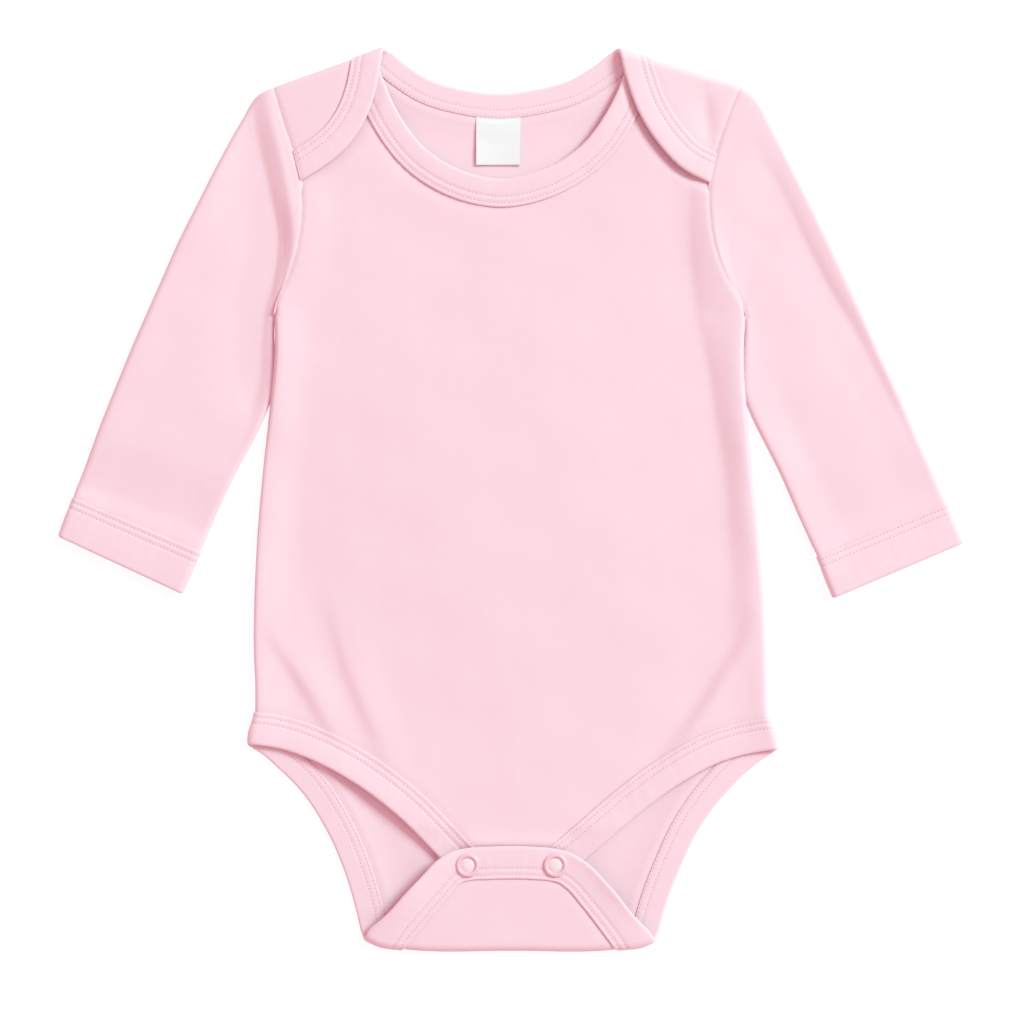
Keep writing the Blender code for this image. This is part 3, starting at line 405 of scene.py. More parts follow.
# Where the underside stands a little off the table
BACK_CREASES = (
    (((-58, 172), (-34, 146), (-2, 136), (30, 146), (48, 168)), 24, 12, 1.2, 5),
    (((-84, 70), (-76, 0), (-88, -80)), 10, 10, 0.7, 8),
    (((70, 110), (80, 30), (74, -60)), 9, 12, 0.8, 8),
    (((-40, 120), (0, 66), (34, 40)), 12, 9, 0.5, 8),
    (((-60, -60), (-32, -120), (-30, -176)), 9, 12, 0.6, 8),
    (((62, -90), (44, -130), (40, -180)), 11, 8, 0.6, 8),
)
print("creases on the front:", len(FRONT_CREASES), "and under the body:", len(BACK_CREASES))

# %% [markdown]
# ### From rows to height
#
# The height of the cloth at a place is the sum of what each crease near it adds, and of a few long, low
# waves, because no cloth that is laid down by hand is quite even. The middle of a flat tube sags a
# little between its folded edges.

# %% Height of the creases
CREASE_END = (2.5, 4.5)  # where a crease dies away, in reaches from its line
CREASE_FADE = 1.2  # how steadily it fades towards both ends of its line
SAG, SLEEVE_SAG = 1.2, 0.7  # how far the middle of a flat tube sinks below its folded edges
SAG_REACH = (0.5, 18.0)  # over what distances from the edge
SAG_TOP, SAG_BOTTOM = (110.0, 170.0), (146.0, 158.0)  # heights over which it ends, at the neck and below
EVEN_EDGE = (0.0, 8.0)  # distances from an edge over which the unevenness starts
LOWEST, SOFT_STOP = 2.9, 0.4  # how far an upper layer can sink to the one below, and how softly it stops
# A faint unevenness everywhere: wavelength, direction in degrees, rise
WAVES = ((61, 20, 0.13), (43, 105, 0.10), (31, 63, 0.06), (36, 150, 0.06), (19, 8, 0.02))


def creases(points, rows):
    """Height of the creases at flat points.

    Across its line a crease falls off as exp(-s), where s is the distance from the line in reaches,
    rounded off at the crest. Along its line it fades towards both ends.
    """
    height = np.zeros(len(points))
    for through, left_reach, right_reach, rise, roundness in rows:
        line = smooth(through, COARSE)
        far = 5 * max(left_reach, right_reach)
        near = np.all((points > line.min(axis=0) - far) & (points < line.max(axis=0) + far), axis=1)
        gap, hand, place = beside(points[near], line)
        reach = np.where(hand > 0, left_reach, right_reach)
        s = (np.hypot(gap, roundness) - roundness) / reach
        fade = np.abs(np.sin(np.pi * place / (len(line) - 1))) ** CREASE_FADE
        height[near] += rise * fade * np.exp(-s) * (1 - ease(s, *CREASE_END))
    return height


def unevenness(points):
    """The sum of a few long, low waves across flat points."""
    height = np.zeros(len(points))
    for length, direction, rise in WAVES:
        across = np.array((math.cos(math.radians(direction)), math.sin(math.radians(direction))))
        height += rise * np.sin(points @ across * 2 * np.pi / length + length)
    return height


print("the waves add up to", round(sum(rise for *_, rise in WAVES), 2), "mm at most")

# %% [markdown]
# ## How the front lies
#
# The front is nearly a plane, two roll radii above the table. At its sides it turns down round the
# folded edge to the side seam, halfway to the table. It dips where it passes under the shoulder laps
# and where its tab slides under the flap. Beside a seam the stitches pull the cloth in, so both sides
# of it sink along a narrow groove with small puckers.

# %% Lay the front
ARMHOLE_FROM = (52.0, 86.0)  # heights over which the armholes take over from the side edges
FAR_AWAY = 60.0
LAP_DIP, APEX_DIP = 1.9, 1.1  # how far the front sinks under a lap, and near the neck
UNDER_LAP = (-5.0, 1.5)  # distances inside the lap's edge over which it sinks
LAP_HEIGHT = (108.0, 128.0)  # heights over which that begins
APEX_REACH = (2.0, 26.0)
TAB_DIP, ONTO_TAB, TAB_SIDES = 2.4, (151.2, 157.0), (26.0, 62.0)  # how far it sinks to the tab, where
SOONER, SOONER_SIDES = 9.0, (16.0, 27.0)  # beside the flap it starts to sink sooner
SEAM_DIP, SEAM_REACH = 0.45, 0.9  # the groove along an armhole seam
SIDE_DIP, SIDE_REACH = 0.5, 0.9  # the shallower one along a side seam
PUCKER, PUCKER_LENGTH, PUCKER_REACH = 0.1, 5.3, 3.0
DRIFT, DRIFT_LENGTH = 1.4, 6.0  # the puckers are unevenly spaced: by how much of a turn, how often
EDGE_DIP, EDGE_REACH = 0.35, 1.1  # how far a panel is pressed down where it enters a binding


def side(height, column):
    """X of the body's left edge (column 1) or right edge (column 2) at a height."""
    return np.interp(height, SIDE_ROWS[:, 0], SIDE_ROWS[:, column])


def side_roll(points):
    """How far each flat point lies beyond the start of the rolled side edge, and on which side."""
    left = side(points[:, 1], 1) + ROLL - points[:, 0]
    right = points[:, 0] - side(points[:, 1], 2) + ROLL
    return np.maximum(np.maximum(left, right), 0.0), np.where(left > right, -1.0, 1.0)


def rolled_sides(points, depth, rise):
    """X and height of points, round the rolled side edge where they lie beyond its start.

    The rise above twice the roll's radius dies away round the roll, so the side seam stays where it is.
    """
    beyond, hand = side_roll(points)
    angle = np.minimum(beyond / ROLL, QUARTER)
    x = points[:, 0] - hand * beyond + hand * (ROLL - depth) * np.sin(angle)
    return x, ROLL + (ROLL + rise - depth) * np.cos(angle)


def settled(rise):
    """Lets no crease sink so far that the upper layer would meet the lower one."""
    above = rise + LOWEST
    return (above + np.hypot(above, SOFT_STOP)) / 2 - LOWEST


def from_edge(points):
    """Distance of flat points inside the body's side edges, or inside the armhole seams above them."""
    inside = np.minimum(points[:, 0] - side(points[:, 1], 1), side(points[:, 1], 2) - points[:, 0])
    seams = [nearest(points, smooth(rows, COARSE))[0] for rows in ARMHOLES]
    above = ease(points[:, 1], *ARMHOLE_FROM)
    return np.minimum(inside, np.minimum(*seams) + FAR_AWAY * (1 - above))


def free_rise(points):
    """How far the front's outer face stands above twice the roll's radius, away from laps and tab."""
    inside, height = from_edge(points), points[:, 1]
    sag = SAG * ease(inside, *SAG_REACH) * (1 - ease(height, *SAG_TOP)) * (1 - ease(-height, *SAG_BOTTOM))
    return settled(creases(points, FRONT_CREASES) + unevenness(points) * ease(inside, *EVEN_EDGE) - sag)


def front_rise(points):
    """The same with the dips under the laps and towards the tab."""
    rise = free_rise(points)
    for lap, (_, neck_end), sign in ((LAP_LEFT, SHOULDER_LEFT, -1), (LAP_RIGHT, SHOULDER_RIGHT, 1)):
        gap, hand, _ = beside(points, smooth(lap, COARSE))
        under = ease(-sign * hand * gap, *UNDER_LAP) * ease(points[:, 1], *LAP_HEIGHT)
        from_neck = sign * (points[:, 0] - neck_end[0])
        rise -= under * (APEX_DIP + (LAP_DIP - APEX_DIP) * ease(from_neck, *APEX_REACH))
    out = np.abs(points[:, 0] - CROTCH_MIDDLE)
    start = ONTO_TAB[0] - SOONER * ease(out, *SOONER_SIDES)
    return rise - TAB_DIP * ease(-points[:, 1], start, ONTO_TAB[1]) * (1 - ease(out, *TAB_SIDES))


def place_front(points, depth):
    """Where flat points of the front lie, at a depth below its outer face."""
    x, z = rolled_sides(points, depth, front_rise(points))
    return np.column_stack([x, points[:, 1], z])


def armhole_dip(plan):
    """How deep the cloth sinks beside the armhole seams, seen from above, with its puckers."""
    sunk = np.zeros(len(plan))
    for rows in ARMHOLES:
        line = smooth(rows)
        gap, place = nearest(plan, line)
        along = place * FINE
        wave = 0.5 + 0.5 * np.sin(2 * np.pi * along / PUCKER_LENGTH + DRIFT * np.sin(along / DRIFT_LENGTH))
        sunk += SEAM_DIP * bell(gap, SEAM_REACH) + PUCKER * wave * bell(gap, PUCKER_REACH)
    return sunk


def side_dip(points):
    """How deep the cloth sinks beside the side seams."""
    beyond, _ = side_roll(points)
    return SIDE_DIP * bell(np.maximum(ROLL * QUARTER - beyond, 0.0), SIDE_REACH) * (beyond > 0)


def lay_front(points, depth):
    """Where flat points of the front lie, with the grooves of its seams."""
    plan = place_front(points, 0.0)[:, :2]
    return place_front(points, depth + np.maximum(armhole_dip(plan), side_dip(points)))


# %% [markdown]
# ## How the back lies
#
# The back rests on the table. It turns up round the sides to meet the front, and it is folded over at
# three places: forward at each shoulder and up at the crotch. A fold is half a turn of a cylinder:
# the distance beyond the fold's start, divided by its radius, is the angle that the cloth has turned,
# and after half a turn it runs back the other way, two radii higher.
#
# A binding is thicker than the panel that it wraps. On the table it can't stand out below, so there it
# lifts the panel instead, and past the folds it stands proud on top.

# %% Lay the back
BAND_LIFT = 0.75  # how far a binding lifts the panel off the table
BAND_LIFT_REACH = (14.0, 24.0)  # distances from the free edge over which the lift fades
FOLDED_HEIGHT = (4.0, 5.0)  # a part that lies higher than this has been folded over


def shoulder_frame(shoulder):
    """Sleeve end of a shoulder fold, direction along it, outward direction and length."""
    sleeve_end, neck_end = (np.array(end) for end in shoulder)
    run = neck_end - sleeve_end
    length = np.linalg.norm(run)
    along = run / length
    out = np.array([-along[1], along[0]])
    return sleeve_end, along, out if out[1] > 0 else -out, length


def shoulder_measure(points, shoulder):
    """Place along a shoulder fold, radius of the fold there, and distance beyond its start."""
    sleeve_end, along, out, length = shoulder_frame(shoulder)
    s = (points - sleeve_end) @ along
    radius = np.interp(s / length, (0.0, 1.0), SHOULDER_ROLL)
    return s, radius, (points - sleeve_end) @ out + radius


def unfolded(points, shoulder, over):
    """Flat places of points given as they are seen from above, near a shoulder fold.

    Over says whether they lie on the lap. Inside the fold's reach the cloth is longer than it looks, by
    the arcsine of how far it has gone round.
    """
    sleeve_end, along, out, _ = shoulder_frame(shoulder)
    s, radius, beyond = shoulder_measure(points, shoulder)
    bent = radius * np.arcsin(np.clip(beyond / radius, 0.0, 1.0)) + np.minimum(beyond, 0.0)
    travelled = math.pi * radius - bent if over else bent
    return sleeve_end + s[:, None] * along + (travelled - radius)[:, None] * out


def crotch_start(x):
    """Height where the back begins to turn up into the crotch fold."""
    return np.interp(np.abs(x - CROTCH_MIDDLE), FOLD_ROWS[:, 0], FOLD_ROWS[:, 1]) + CROTCH_ROLL


def flat_from_flap(points):
    """Flat places of points given where the flap lies on the front."""
    start = crotch_start(points[:, 0])
    return np.column_stack([points[:, 0], 2 * start - math.pi * CROTCH_ROLL - points[:, 1]])


def turned(radius, beyond, depth):
    """How far out a folded point lies from the start of its fold, and how high."""
    angle = np.clip(beyond / radius, 0.0, math.pi)
    after = np.maximum(beyond - math.pi * radius, 0.0)
    return (radius - depth) * np.sin(angle) - after, radius - (radius - depth) * np.cos(angle)


def place_back(points, depth):
    """Where flat points of the back lie, at a depth inside its outer face: on the table or folded over."""
    x, height = rolled_sides(points, depth, 0.0)
    laid = np.column_stack([x, points[:, 1], 2 * ROLL - height])
    for shoulder in SHOULDERS:
        _, _, out, length = shoulder_frame(shoulder)
        s, radius, beyond = shoulder_measure(points, shoulder)
        near = (beyond > 0) & (s > -SHOULDER_END) & (s < length + SHOULDER_END)
        outward, height = turned(radius, beyond, depth)
        moved = points + (outward - beyond)[:, None] * out
        laid = np.where(near[:, None], np.column_stack([moved, height]), laid)
    beyond = crotch_start(points[:, 0]) - points[:, 1]
    outward, height = turned(CROTCH_ROLL, beyond, depth)
    moved = np.column_stack([points[:, 0], points[:, 1] + beyond - outward, height])
    return np.where((beyond > 0)[:, None], moved, laid)


def turned_share(points):
    """How far flat points of the back have left the table: 0 on it, 1 from a quarter turn on."""
    share = side_roll(points)[0] / ROLL
    for shoulder in SHOULDERS:
        s, radius, beyond = shoulder_measure(points, shoulder)
        near = (s > -SHOULDER_END) & (s < shoulder_frame(shoulder)[3] + SHOULDER_END)
        share = np.maximum(share, near * beyond / radius)
    share = np.maximum(share, (crotch_start(points[:, 0]) - points[:, 1]) / CROTCH_ROLL)
    return np.clip(share / QUARTER, 0.0, 1.0)


def lay_back(points, depth, banded=1.0):
    """Where flat points of the back lie, with its grooves. Banded is 1 in a binding and 0 far from one."""
    plan = place_back(points, 0.0)
    over = ease(plan[:, 2], *FOLDED_HEIGHT)
    sunk = np.maximum(armhole_dip(plan[:, :2]), side_dip(points))
    up = turned_share(points)
    sunk = sunk + BAND_LIFT * banded * (1 - up**2)
    sunk = sunk + creases(points, BACK_CREASES) * (1 - up) * (1 - banded)
    sunk = sunk - over * (creases(plan[:, :2], FOLDED_CREASES) + 0.5 * unevenness(plan[:, :2]))
    return place_back(points, depth + sunk)


# %% [markdown]
# ## The lines where strips are sewn on
#
# A binding follows the free edge of its panel. Its free edge and its seam are found together, and both
# are cut at the same turns of each fold, so that a section of the strip never lies half on a fold.

# %% Edges of the bindings
STATION = 0.9  # spacing of the sections along a binding


def paired(edge, width, starts, ends):
    """Matched points on a strip's free edge and on its seam, a width to the left.

    Starts and ends are (measure, value) pairs, in order along the strip, at which both lines have a
    station, so that the sections there follow the line that the measure and value give.
    """
    seam = offset(edge, width)
    matched = []
    for line in (edge, seam):
        anchors = [first(line, measure, value) for measure, value in starts]
        anchors += [last(line, measure, value) for measure, value in ends]
        matched.append(np.array(anchors))
    counts = np.maximum(1, np.round(np.diff(matched[0]) / STATION)).astype(int)
    share = np.concatenate([k + np.arange(n) / n for k, n in enumerate(counts)] + [[len(counts)]])
    places = [np.interp(share, np.arange(len(counts) + 1), anchors) for anchors in matched]
    return at(edge, places[0]), at(seam, places[1])


def armhole_measure(rows):
    """A measure of flat points of the back: how far inside the armhole they lie when laid."""
    line = smooth(rows)[::-1]
    hand = 1.0 if rows[0][0] < 0 else -1.0

    def measure(points):
        laid = place_back(points, 0.0)
        return hand * (laid[:, 0] - np.interp(laid[:, 1], line[:, 1], line[:, 0]))

    return measure


def shoulder_distance(shoulder):
    """A measure of flat points: how far beyond the start of a shoulder fold they lie."""
    return lambda points: shoulder_measure(points, shoulder)[2]


def shoulder_angle(shoulder):
    """A measure of flat points: how far round a shoulder fold they lie, in radians."""
    return lambda points: shoulder_distance(shoulder)(points) / shoulder_measure(points, shoulder)[1]


def crotch_angle(points):
    """How far round the crotch fold flat points lie, in radians."""
    return (crotch_start(points[:, 0]) - points[:, 1]) / CROTCH_ROLL


def left_angle(points):
    """How far round the left rolled side edge flat points lie, in radians."""
    return (side(points[:, 1], 1) + ROLL - points[:, 0]) / ROLL


def right_angle(points):
    """How far round the right rolled side edge flat points lie, in radians."""
    return (points[:, 0] - side(points[:, 1], 2) + ROLL) / ROLL


HALF_TURN = np.radians(np.arange(0.0, 181.0, 15.0))
QUARTER_TURN = HALF_TURN[:7]
FROM_LEFT = [(left_angle, angle) for angle in QUARTER_TURN[::-1]]
TO_RIGHT = [(right_angle, angle) for angle in QUARTER_TURN]

left_lap = unfolded(np.array(LAP_LEFT), SHOULDER_LEFT, True)
right_lap = unfolded(np.array(LAP_RIGHT), SHOULDER_RIGHT, True)[::-1]
back_leg_rows = np.array(BACK_LEG)
BACK_NECK_STRIP = paired(
    smooth(np.concatenate([left_lap, BACK_NECK, right_lap])),
    -BACK_NECK_WIDTH,
    [(armhole_measure(ARMHOLE_LEFT), 0.0)] + [(shoulder_angle(SHOULDER_LEFT), a) for a in HALF_TURN[::-1]],
    [(shoulder_angle(SHOULDER_RIGHT), a) for a in HALF_TURN] + [(armhole_measure(ARMHOLE_RIGHT), 0.0)],
)
FRONT_NECK_STRIP = paired(
    smooth(FRONT_NECK),
    -FRONT_NECK_WIDTH,
    [(shoulder_distance(SHOULDER_LEFT), -TUCK)],
    [(shoulder_distance(SHOULDER_RIGHT), -TUCK)],
)
FRONT_LEG_STRIP = paired(smooth(FRONT_LEG), LEG_WIDTH, FROM_LEFT, TO_RIGHT)
back_leg_edge = [back_leg_rows[:, [1, 0]], flat_from_flap(np.array(FLAP)), back_leg_rows[::-1][:, [2, 0]]]
BACK_LEG_STRIP = paired(
    smooth(np.concatenate(back_leg_edge)),
    LEG_WIDTH,
    FROM_LEFT + [(crotch_angle, angle) for angle in HALF_TURN],
    [(crotch_angle, angle) for angle in HALF_TURN[::-1]] + TO_RIGHT,
)
BACK_EDGES = np.concatenate([BACK_NECK_STRIP[0][::3], BACK_LEG_STRIP[0][::3]])
shown = {"back neck": BACK_NECK_STRIP, "front leg": FRONT_LEG_STRIP, "back leg": BACK_LEG_STRIP}
for label, (edge, _) in shown.items():
    print(label, "binding:", round(lengths(edge)[-1]), "mm,", len(edge), "sections")

# %% [markdown]
# ## Materials
#
# Each finish is made with nodes. One function turns the usual hex colours into the linear values that a
# shader wants, and one function adds a node with its settings and its links. Cloth patterns read the
# piece's own "cut" map, which holds each point's place on the flat pattern in metres, so the knit
# bends with the cloth.

# %% Node helpers
def linear(hex_colour):
    """Linear RGBA of an sRGB hex colour such as 'f2d0da'."""
    values = np.array([int(hex_colour[k : k + 2], 16) for k in (0, 2, 4)]) / 255
    return (*np.where(values <= 0.04045, values / 12.92, ((values + 0.055) / 1.055) ** 2.4), 1.0)


def add(tree, kind, settings=None, **inputs):
    """Adds a node. Settings are its own properties; inputs are values, or sockets to link from."""
    node = tree.nodes.new(kind)
    for name, value in (settings or {}).items():
        setattr(node, name, value)
    for name, value in inputs.items():
        socket = node.inputs[int(name[1:])] if name[1:].isdigit() else node.inputs[name.replace("_", " ")]
        if isinstance(value, bpy.types.NodeSocket):
            tree.links.new(value, socket)
        else:
            socket.default_value = value
    return node


def new_material(name, **shader_inputs):
    """A material with a plain surface shader, and its node tree."""
    material = bpy.data.materials.new(name)
    material.use_nodes = True
    tree = material.node_tree
    tree.nodes.clear()
    shader = add(tree, "ShaderNodeBsdfPrincipled", **shader_inputs)
    output = add(tree, "ShaderNodeOutputMaterial")
    tree.links.new(shader.outputs["BSDF"], output.inputs["Surface"])
    return material, tree, shader


def cloudy(tree, shader, place, patch, detail, deep, pale):
    """Colours a surface in soft patches of two close shades. Returns the cloud, from 0 to 1."""
    cloud = add(tree, "ShaderNodeTexNoise", Vector=place, Scale=1 / (patch * MM), Detail=detail).outputs[0]
    colour = add(tree, "ShaderNodeMix", {"data_type": "RGBA"}, Factor=cloud, _6=linear(deep), _7=linear(pale))
    tree.links.new(colour.outputs[2], shader.inputs["Base Color"])
    return cloud


# %% [markdown]
# ### Cotton interlock
#
# The panels are cotton interlock: two rib fabrics knitted into each other, smooth on both faces, with
# fine upright wales. It is dyed a pale pink and brushed soft, so there is hardly any shine, only the
# bright bloom that short fibres give to cloth seen at a slant. A wale is about 0.7 mm wide in the real
# cloth and is drawn 1.1 mm wide here, because it would be finer than a pixel. The dye takes a little
# unevenly, in patches of a few millimetres.

# %% Knit material
DYE_PATCH = 6.0
BAND = math.pi / 10  # scale of a wave texture at which its bands are one unit wide


def knit_material(name, deep, pale, wale, course, relief):
    """Knit cloth: wales and courses as two crossed waves in relief, and soft patches of two pinks."""
    material, tree, shader = new_material(
        name,
        Roughness=0.9,
        Specular_IOR_Level=0.2,
        Sheen_Weight=0.22,
        Sheen_Roughness=0.5,
        Sheen_Tint=linear("fbdde5"),
    )
    cut = add(tree, "ShaderNodeUVMap", {"uv_map": "cut"}).outputs["UV"]
    cloudy(tree, shader, cut, DYE_PATCH, 2.0, deep, pale)
    wales, courses = (
        add(
            tree,
            "ShaderNodeTexWave",
            {"bands_direction": direction},
            Vector=cut,
            Scale=BAND / (size * MM),
            Distortion=0.6,
            Detail=1.0,
            Detail_Scale=0.8,
        ).outputs["Color"]
        for direction, size in (("X", wale), ("Y", course))
    )
    loops = add(tree, "ShaderNodeMath", {"operation": "MULTIPLY"}, _0=wales, _1=courses)
    bump = add(tree, "ShaderNodeBump", Strength=0.5, Distance=relief * MM, Height=loops.outputs[0])
    tree.links.new(bump.outputs["Normal"], shader.inputs["Normal"])
    return material


interlock = knit_material("cotton_interlock", "edccd5", "efcfd8", wale=1.1, course=0.95, relief=0.03)
binding_knit = knit_material("binding_interlock", "edccd5", "f0d1da", wale=0.95, course=0.9, relief=0.03)
# on the snap domes the same knit is made paler: a painted highlight
dome_knit_painted_highlight = knit_material("interlock_painted_highlight", "eed5da", "f1dadf", wale=1.1, course=1.0, relief=0.02)
print("knits:", interlock.name, binding_knit.name)

# %% [markdown]
# ### Thread, ribbon, enamel, steel
#
# The thread is spun polyester, a shade deeper than the cloth, with a slight lustre. The size label is a
# woven polyester ribbon, bleached white and a little glossy along its warp. The snap rings are brass
# caps with baked pink enamel, which is hard and smooth. The sockets and studs between the flap and the
# tab are nickel-plated brass.

# %% Trim materials
def thread_material():
    """Spun thread: smooth and a little lustrous, its shade wandering along it."""
    material, tree, shader = new_material("spun_polyester_thread", Roughness=0.55, Sheen_Weight=0.1)
    place = add(tree, "ShaderNodeTexCoord").outputs["Object"]
    cloudy(tree, shader, place, 3.0, 1.0, "e2b9c4", "e9c4ce")
    return material


def ribbon_material():
    """Woven ribbon: fine upright warp threads, 0.5 mm apart here and finer in the real ribbon."""
    material, tree, shader = new_material("woven_ribbon", Roughness=0.5, Sheen_Weight=0.1)
    cut = add(tree, "ShaderNodeUVMap", {"uv_map": "cut"}).outputs["UV"]
    bands = {"bands_direction": "X"}
    warp = add(tree, "ShaderNodeTexWave", bands, Vector=cut, Scale=BAND / (0.5 * MM), Distortion=0.3)
    shades = {"Factor": warp.outputs["Color"], "_6": linear("e4e4e4"), "_7": linear("eaeaea")}
    colour = add(tree, "ShaderNodeMix", {"data_type": "RGBA"}, **shades)
    tree.links.new(colour.outputs[2], shader.inputs["Base Color"])
    bump = add(tree, "ShaderNodeBump", Strength=0.4, Distance=0.04 * MM, Height=warp.outputs["Color"])
    tree.links.new(bump.outputs["Normal"], shader.inputs["Normal"])
    return material


def hard_material(name, dark, light, roughness, metallic, coat):
    """Enamel or plating: two close colours in fine cloudy patches, and a faint unevenness of gloss."""
    material, tree, shader = new_material(name, Metallic=metallic, Coat_Weight=coat)
    place = add(tree, "ShaderNodeTexCoord").outputs["Object"]
    cloud = cloudy(tree, shader, place, 2.0, 3.0, dark, light)
    gloss = add(tree, "ShaderNodeMapRange", Value=cloud, To_Min=roughness - 0.05, To_Max=roughness + 0.08)
    tree.links.new(gloss.outputs["Result"], shader.inputs["Roughness"])
    return material


thread = thread_material()
ribbon = ribbon_material()
enamel = hard_material("baked_enamel", "eabfca", "edc4ce", 0.3, 0.0, 0.3)
plating = hard_material("nickel_plated_brass", "b9b7b2", "c8c6c0", 0.28, 1.0, 0.0)
print("trims:", thread.name, ribbon.name, enamel.name, plating.name)

# %% [markdown]
# ## Making meshes
#
# Every shape arrives as two arrays: points in millimetres and faces as rows of point numbers. One
# function puts them into a mesh, writes the flat places into the "cut" map, and turns the faces
# outwards if the volume they enclose comes out negative.

# %% Mesh helpers
SHARP = math.radians(60.0)


def enclosed(points, faces):
    """Signed volume inside the faces: the sum of the wedges from the origin to each triangle."""
    a, b, c = (points[faces[:, k]] for k in range(3))
    volume = np.einsum("ij,ij->i", a, np.cross(b, c)).sum()
    if faces.shape[1] == 4:
        volume += np.einsum("ij,ij->i", a, np.cross(c, points[faces[:, 3]])).sum()
    return volume / 6


def placed(name, data):
    """A new object in the scene, at the origin."""
    thing = bpy.data.objects.new(name, data)
    bpy.context.scene.collection.objects.link(thing)
    return thing


def make(name, points, faces, material, cut=None, caps=()):
    """A smooth-shaded piece. Points and cut are in millimetres; caps are faces with many corners."""
    if enclosed(points, faces) < 0:
        faces = faces[:, ::-1]
        caps = [cap[::-1] for cap in caps]
    mesh = bpy.data.meshes.new(name)
    mesh.from_pydata((points * MM).tolist(), [], faces.tolist() + [list(cap) for cap in caps])
    mesh.materials.append(material)
    if cut is not None:
        corners = np.empty(len(mesh.loops), int)
        mesh.loops.foreach_get("vertex_index", corners)
        layer = mesh.uv_layers.new(name="cut")
        layer.uv.foreach_set("vector", (cut[corners] * MM).astype(np.float32).ravel())
    mesh.shade_smooth()
    mesh.set_sharp_from_angle(angle=SHARP)
    print(name, "has", (faces.shape[1] - 2) * len(faces), "triangles")
    return placed(name, mesh)


def grid_faces(rows, columns, rows_close=False, columns_close=False):
    """Four-cornered faces between neighbours of a grid of points, row by row."""
    index = np.arange(rows * columns).reshape(rows, columns)
    if rows_close:
        index = np.vstack([index, index[:1]])
    if columns_close:
        index = np.hstack([index, index[:, :1]])
    corners = (index[:-1, :-1], index[:-1, 1:], index[1:, 1:], index[1:, :-1])
    return np.stack(corners, axis=-1).reshape(-1, 4)


def pairs(x, y):
    """Every pairing of the values in x and y, as a grid of flat points."""
    return np.stack(np.broadcast_arrays(x, y), axis=-1)


# %% [markdown]
# ## A panel of cloth
#
# A panel has a free shape, so its outline is filled with an even net of triangles on the flat. Where
# the cloth bends tightly, at the rolled sides, the folds and the seams, extra rows of points are laid
# along the bend. The net is then laid twice, at the outer face and one layer deeper, and a rim joins the
# two: a shell with the real thickness of the knit.

# %% Fill and lay a panel
NET = 1.75  # spacing of the points inside a panel
CLOSEST, CLEARANCE = 0.3, 0.4 * NET  # of points in rows, and of the net to the rows
ROW_STEP, ARMHOLE_STEP, FOLD_STEP = 1.5, 1.2, 1.6  # spacing of points along rolls, armholes and folds
SEAM_GAPS, SEAM_POINTS = (0.5, 1.0, 1.6, 2.4), 1.1  # the rows beside a seam, and spacing along them


def kept_clear(points, others, distance):
    """The points with none of the others in their cell of a grid, or in the cells round it."""

    def key(cells):
        """One number for each cell."""
        return cells[:, 0] * 100000 + cells[:, 1]

    taken = np.unique(key(np.floor(others / distance).astype(int)))
    cells = np.floor(points / distance).astype(int)
    clear = np.ones(len(points), bool)
    for step_x in (-1, 0, 1):
        for step_y in (-1, 0, 1):
            clear &= ~np.isin(key(cells + (step_x, step_y)), taken)
    return points[clear]


def net(outline, rows):
    """Points and triangles that fill an outline, with the given rows of points among them."""
    low, high = outline.min(axis=0), outline.max(axis=0)
    ys = np.arange(low[1], high[1], NET * math.sqrt(0.75))
    xs = np.arange(low[0], high[0], NET)
    shifted = xs[None, :] + (np.arange(len(ys)) % 2)[:, None] * NET / 2
    filling = pairs(shifted, ys[:, None]).reshape(-1, 2)
    points = outline
    for row in rows:
        points = np.concatenate([points, kept_clear(row, points, CLOSEST)])
    points = np.concatenate([points, kept_clear(filling, points, CLEARANCE)])
    count = len(outline)
    border = [(k, (k + 1) % count) for k in range(count)]
    flat, _, faces, _, _, _ = delaunay_2d_cdt([Vector(p) for p in points], border, [], 1, 0.001)
    flat = np.array([tuple(p) for p in flat])
    used, faces = np.unique(np.array(faces), return_inverse=True)
    return flat[used], faces.reshape(-1, 3)


def panel(name, outline, rows, lay, material):
    """A cloth panel: the net laid at its outer face and one layer deeper, joined by a rim."""
    flat, faces = net(outline, rows)
    count = len(flat)
    points = np.concatenate([lay(flat, 0.0), lay(flat, KNIT)])
    sides = np.concatenate([faces[:, [0, 1]], faces[:, [1, 2]], faces[:, [2, 0]]])
    forward, backward = sides[:, 0] * count + sides[:, 1], sides[:, 1] * count + sides[:, 0]
    rim = sides[~np.isin(forward, backward)]
    walls = np.concatenate([rim[:, [1, 0]], rim[:, [0, 1]]], axis=1)
    walls[:, 2:] += count
    walls = np.concatenate([walls[:, [0, 1, 2]], walls[:, [0, 2, 3]]])
    every = np.concatenate([faces, faces[:, ::-1] + count, walls])
    return make(name, points, every, material, np.concatenate([flat, flat]))


print("points of a net stand", NET, "mm apart")

# %% [markdown]
# ### Outlines and extra rows
#
# A panel's outline is put together on the flat, from its side seams, its armholes and the lines inside
# its bindings. The extra rows of points run round the rolled sides and close beside the armhole seams.

# %% Outlines and extra rows
def rolled_out(points):
    """Flat places of points given as they are seen from above, next to a rolled side edge."""
    beyond, hand = side_roll(points)
    unrolled = ROLL * np.arcsin(np.clip(beyond / ROLL, 0.0, 1.0))
    return points + np.column_stack([hand * (unrolled - beyond), np.zeros(len(points))])


def side_seam(column, low, high):
    """Flat line of a panel's side seam, a quarter turn round the rolled edge, between two heights."""
    heights = np.linspace(low, high, int((high - low) / ROW_STEP) + 1)
    sign = -1.0 if column == 1 else 1.0
    return np.column_stack([side(heights, column) + sign * ROLL * (QUARTER - 1.0), heights])


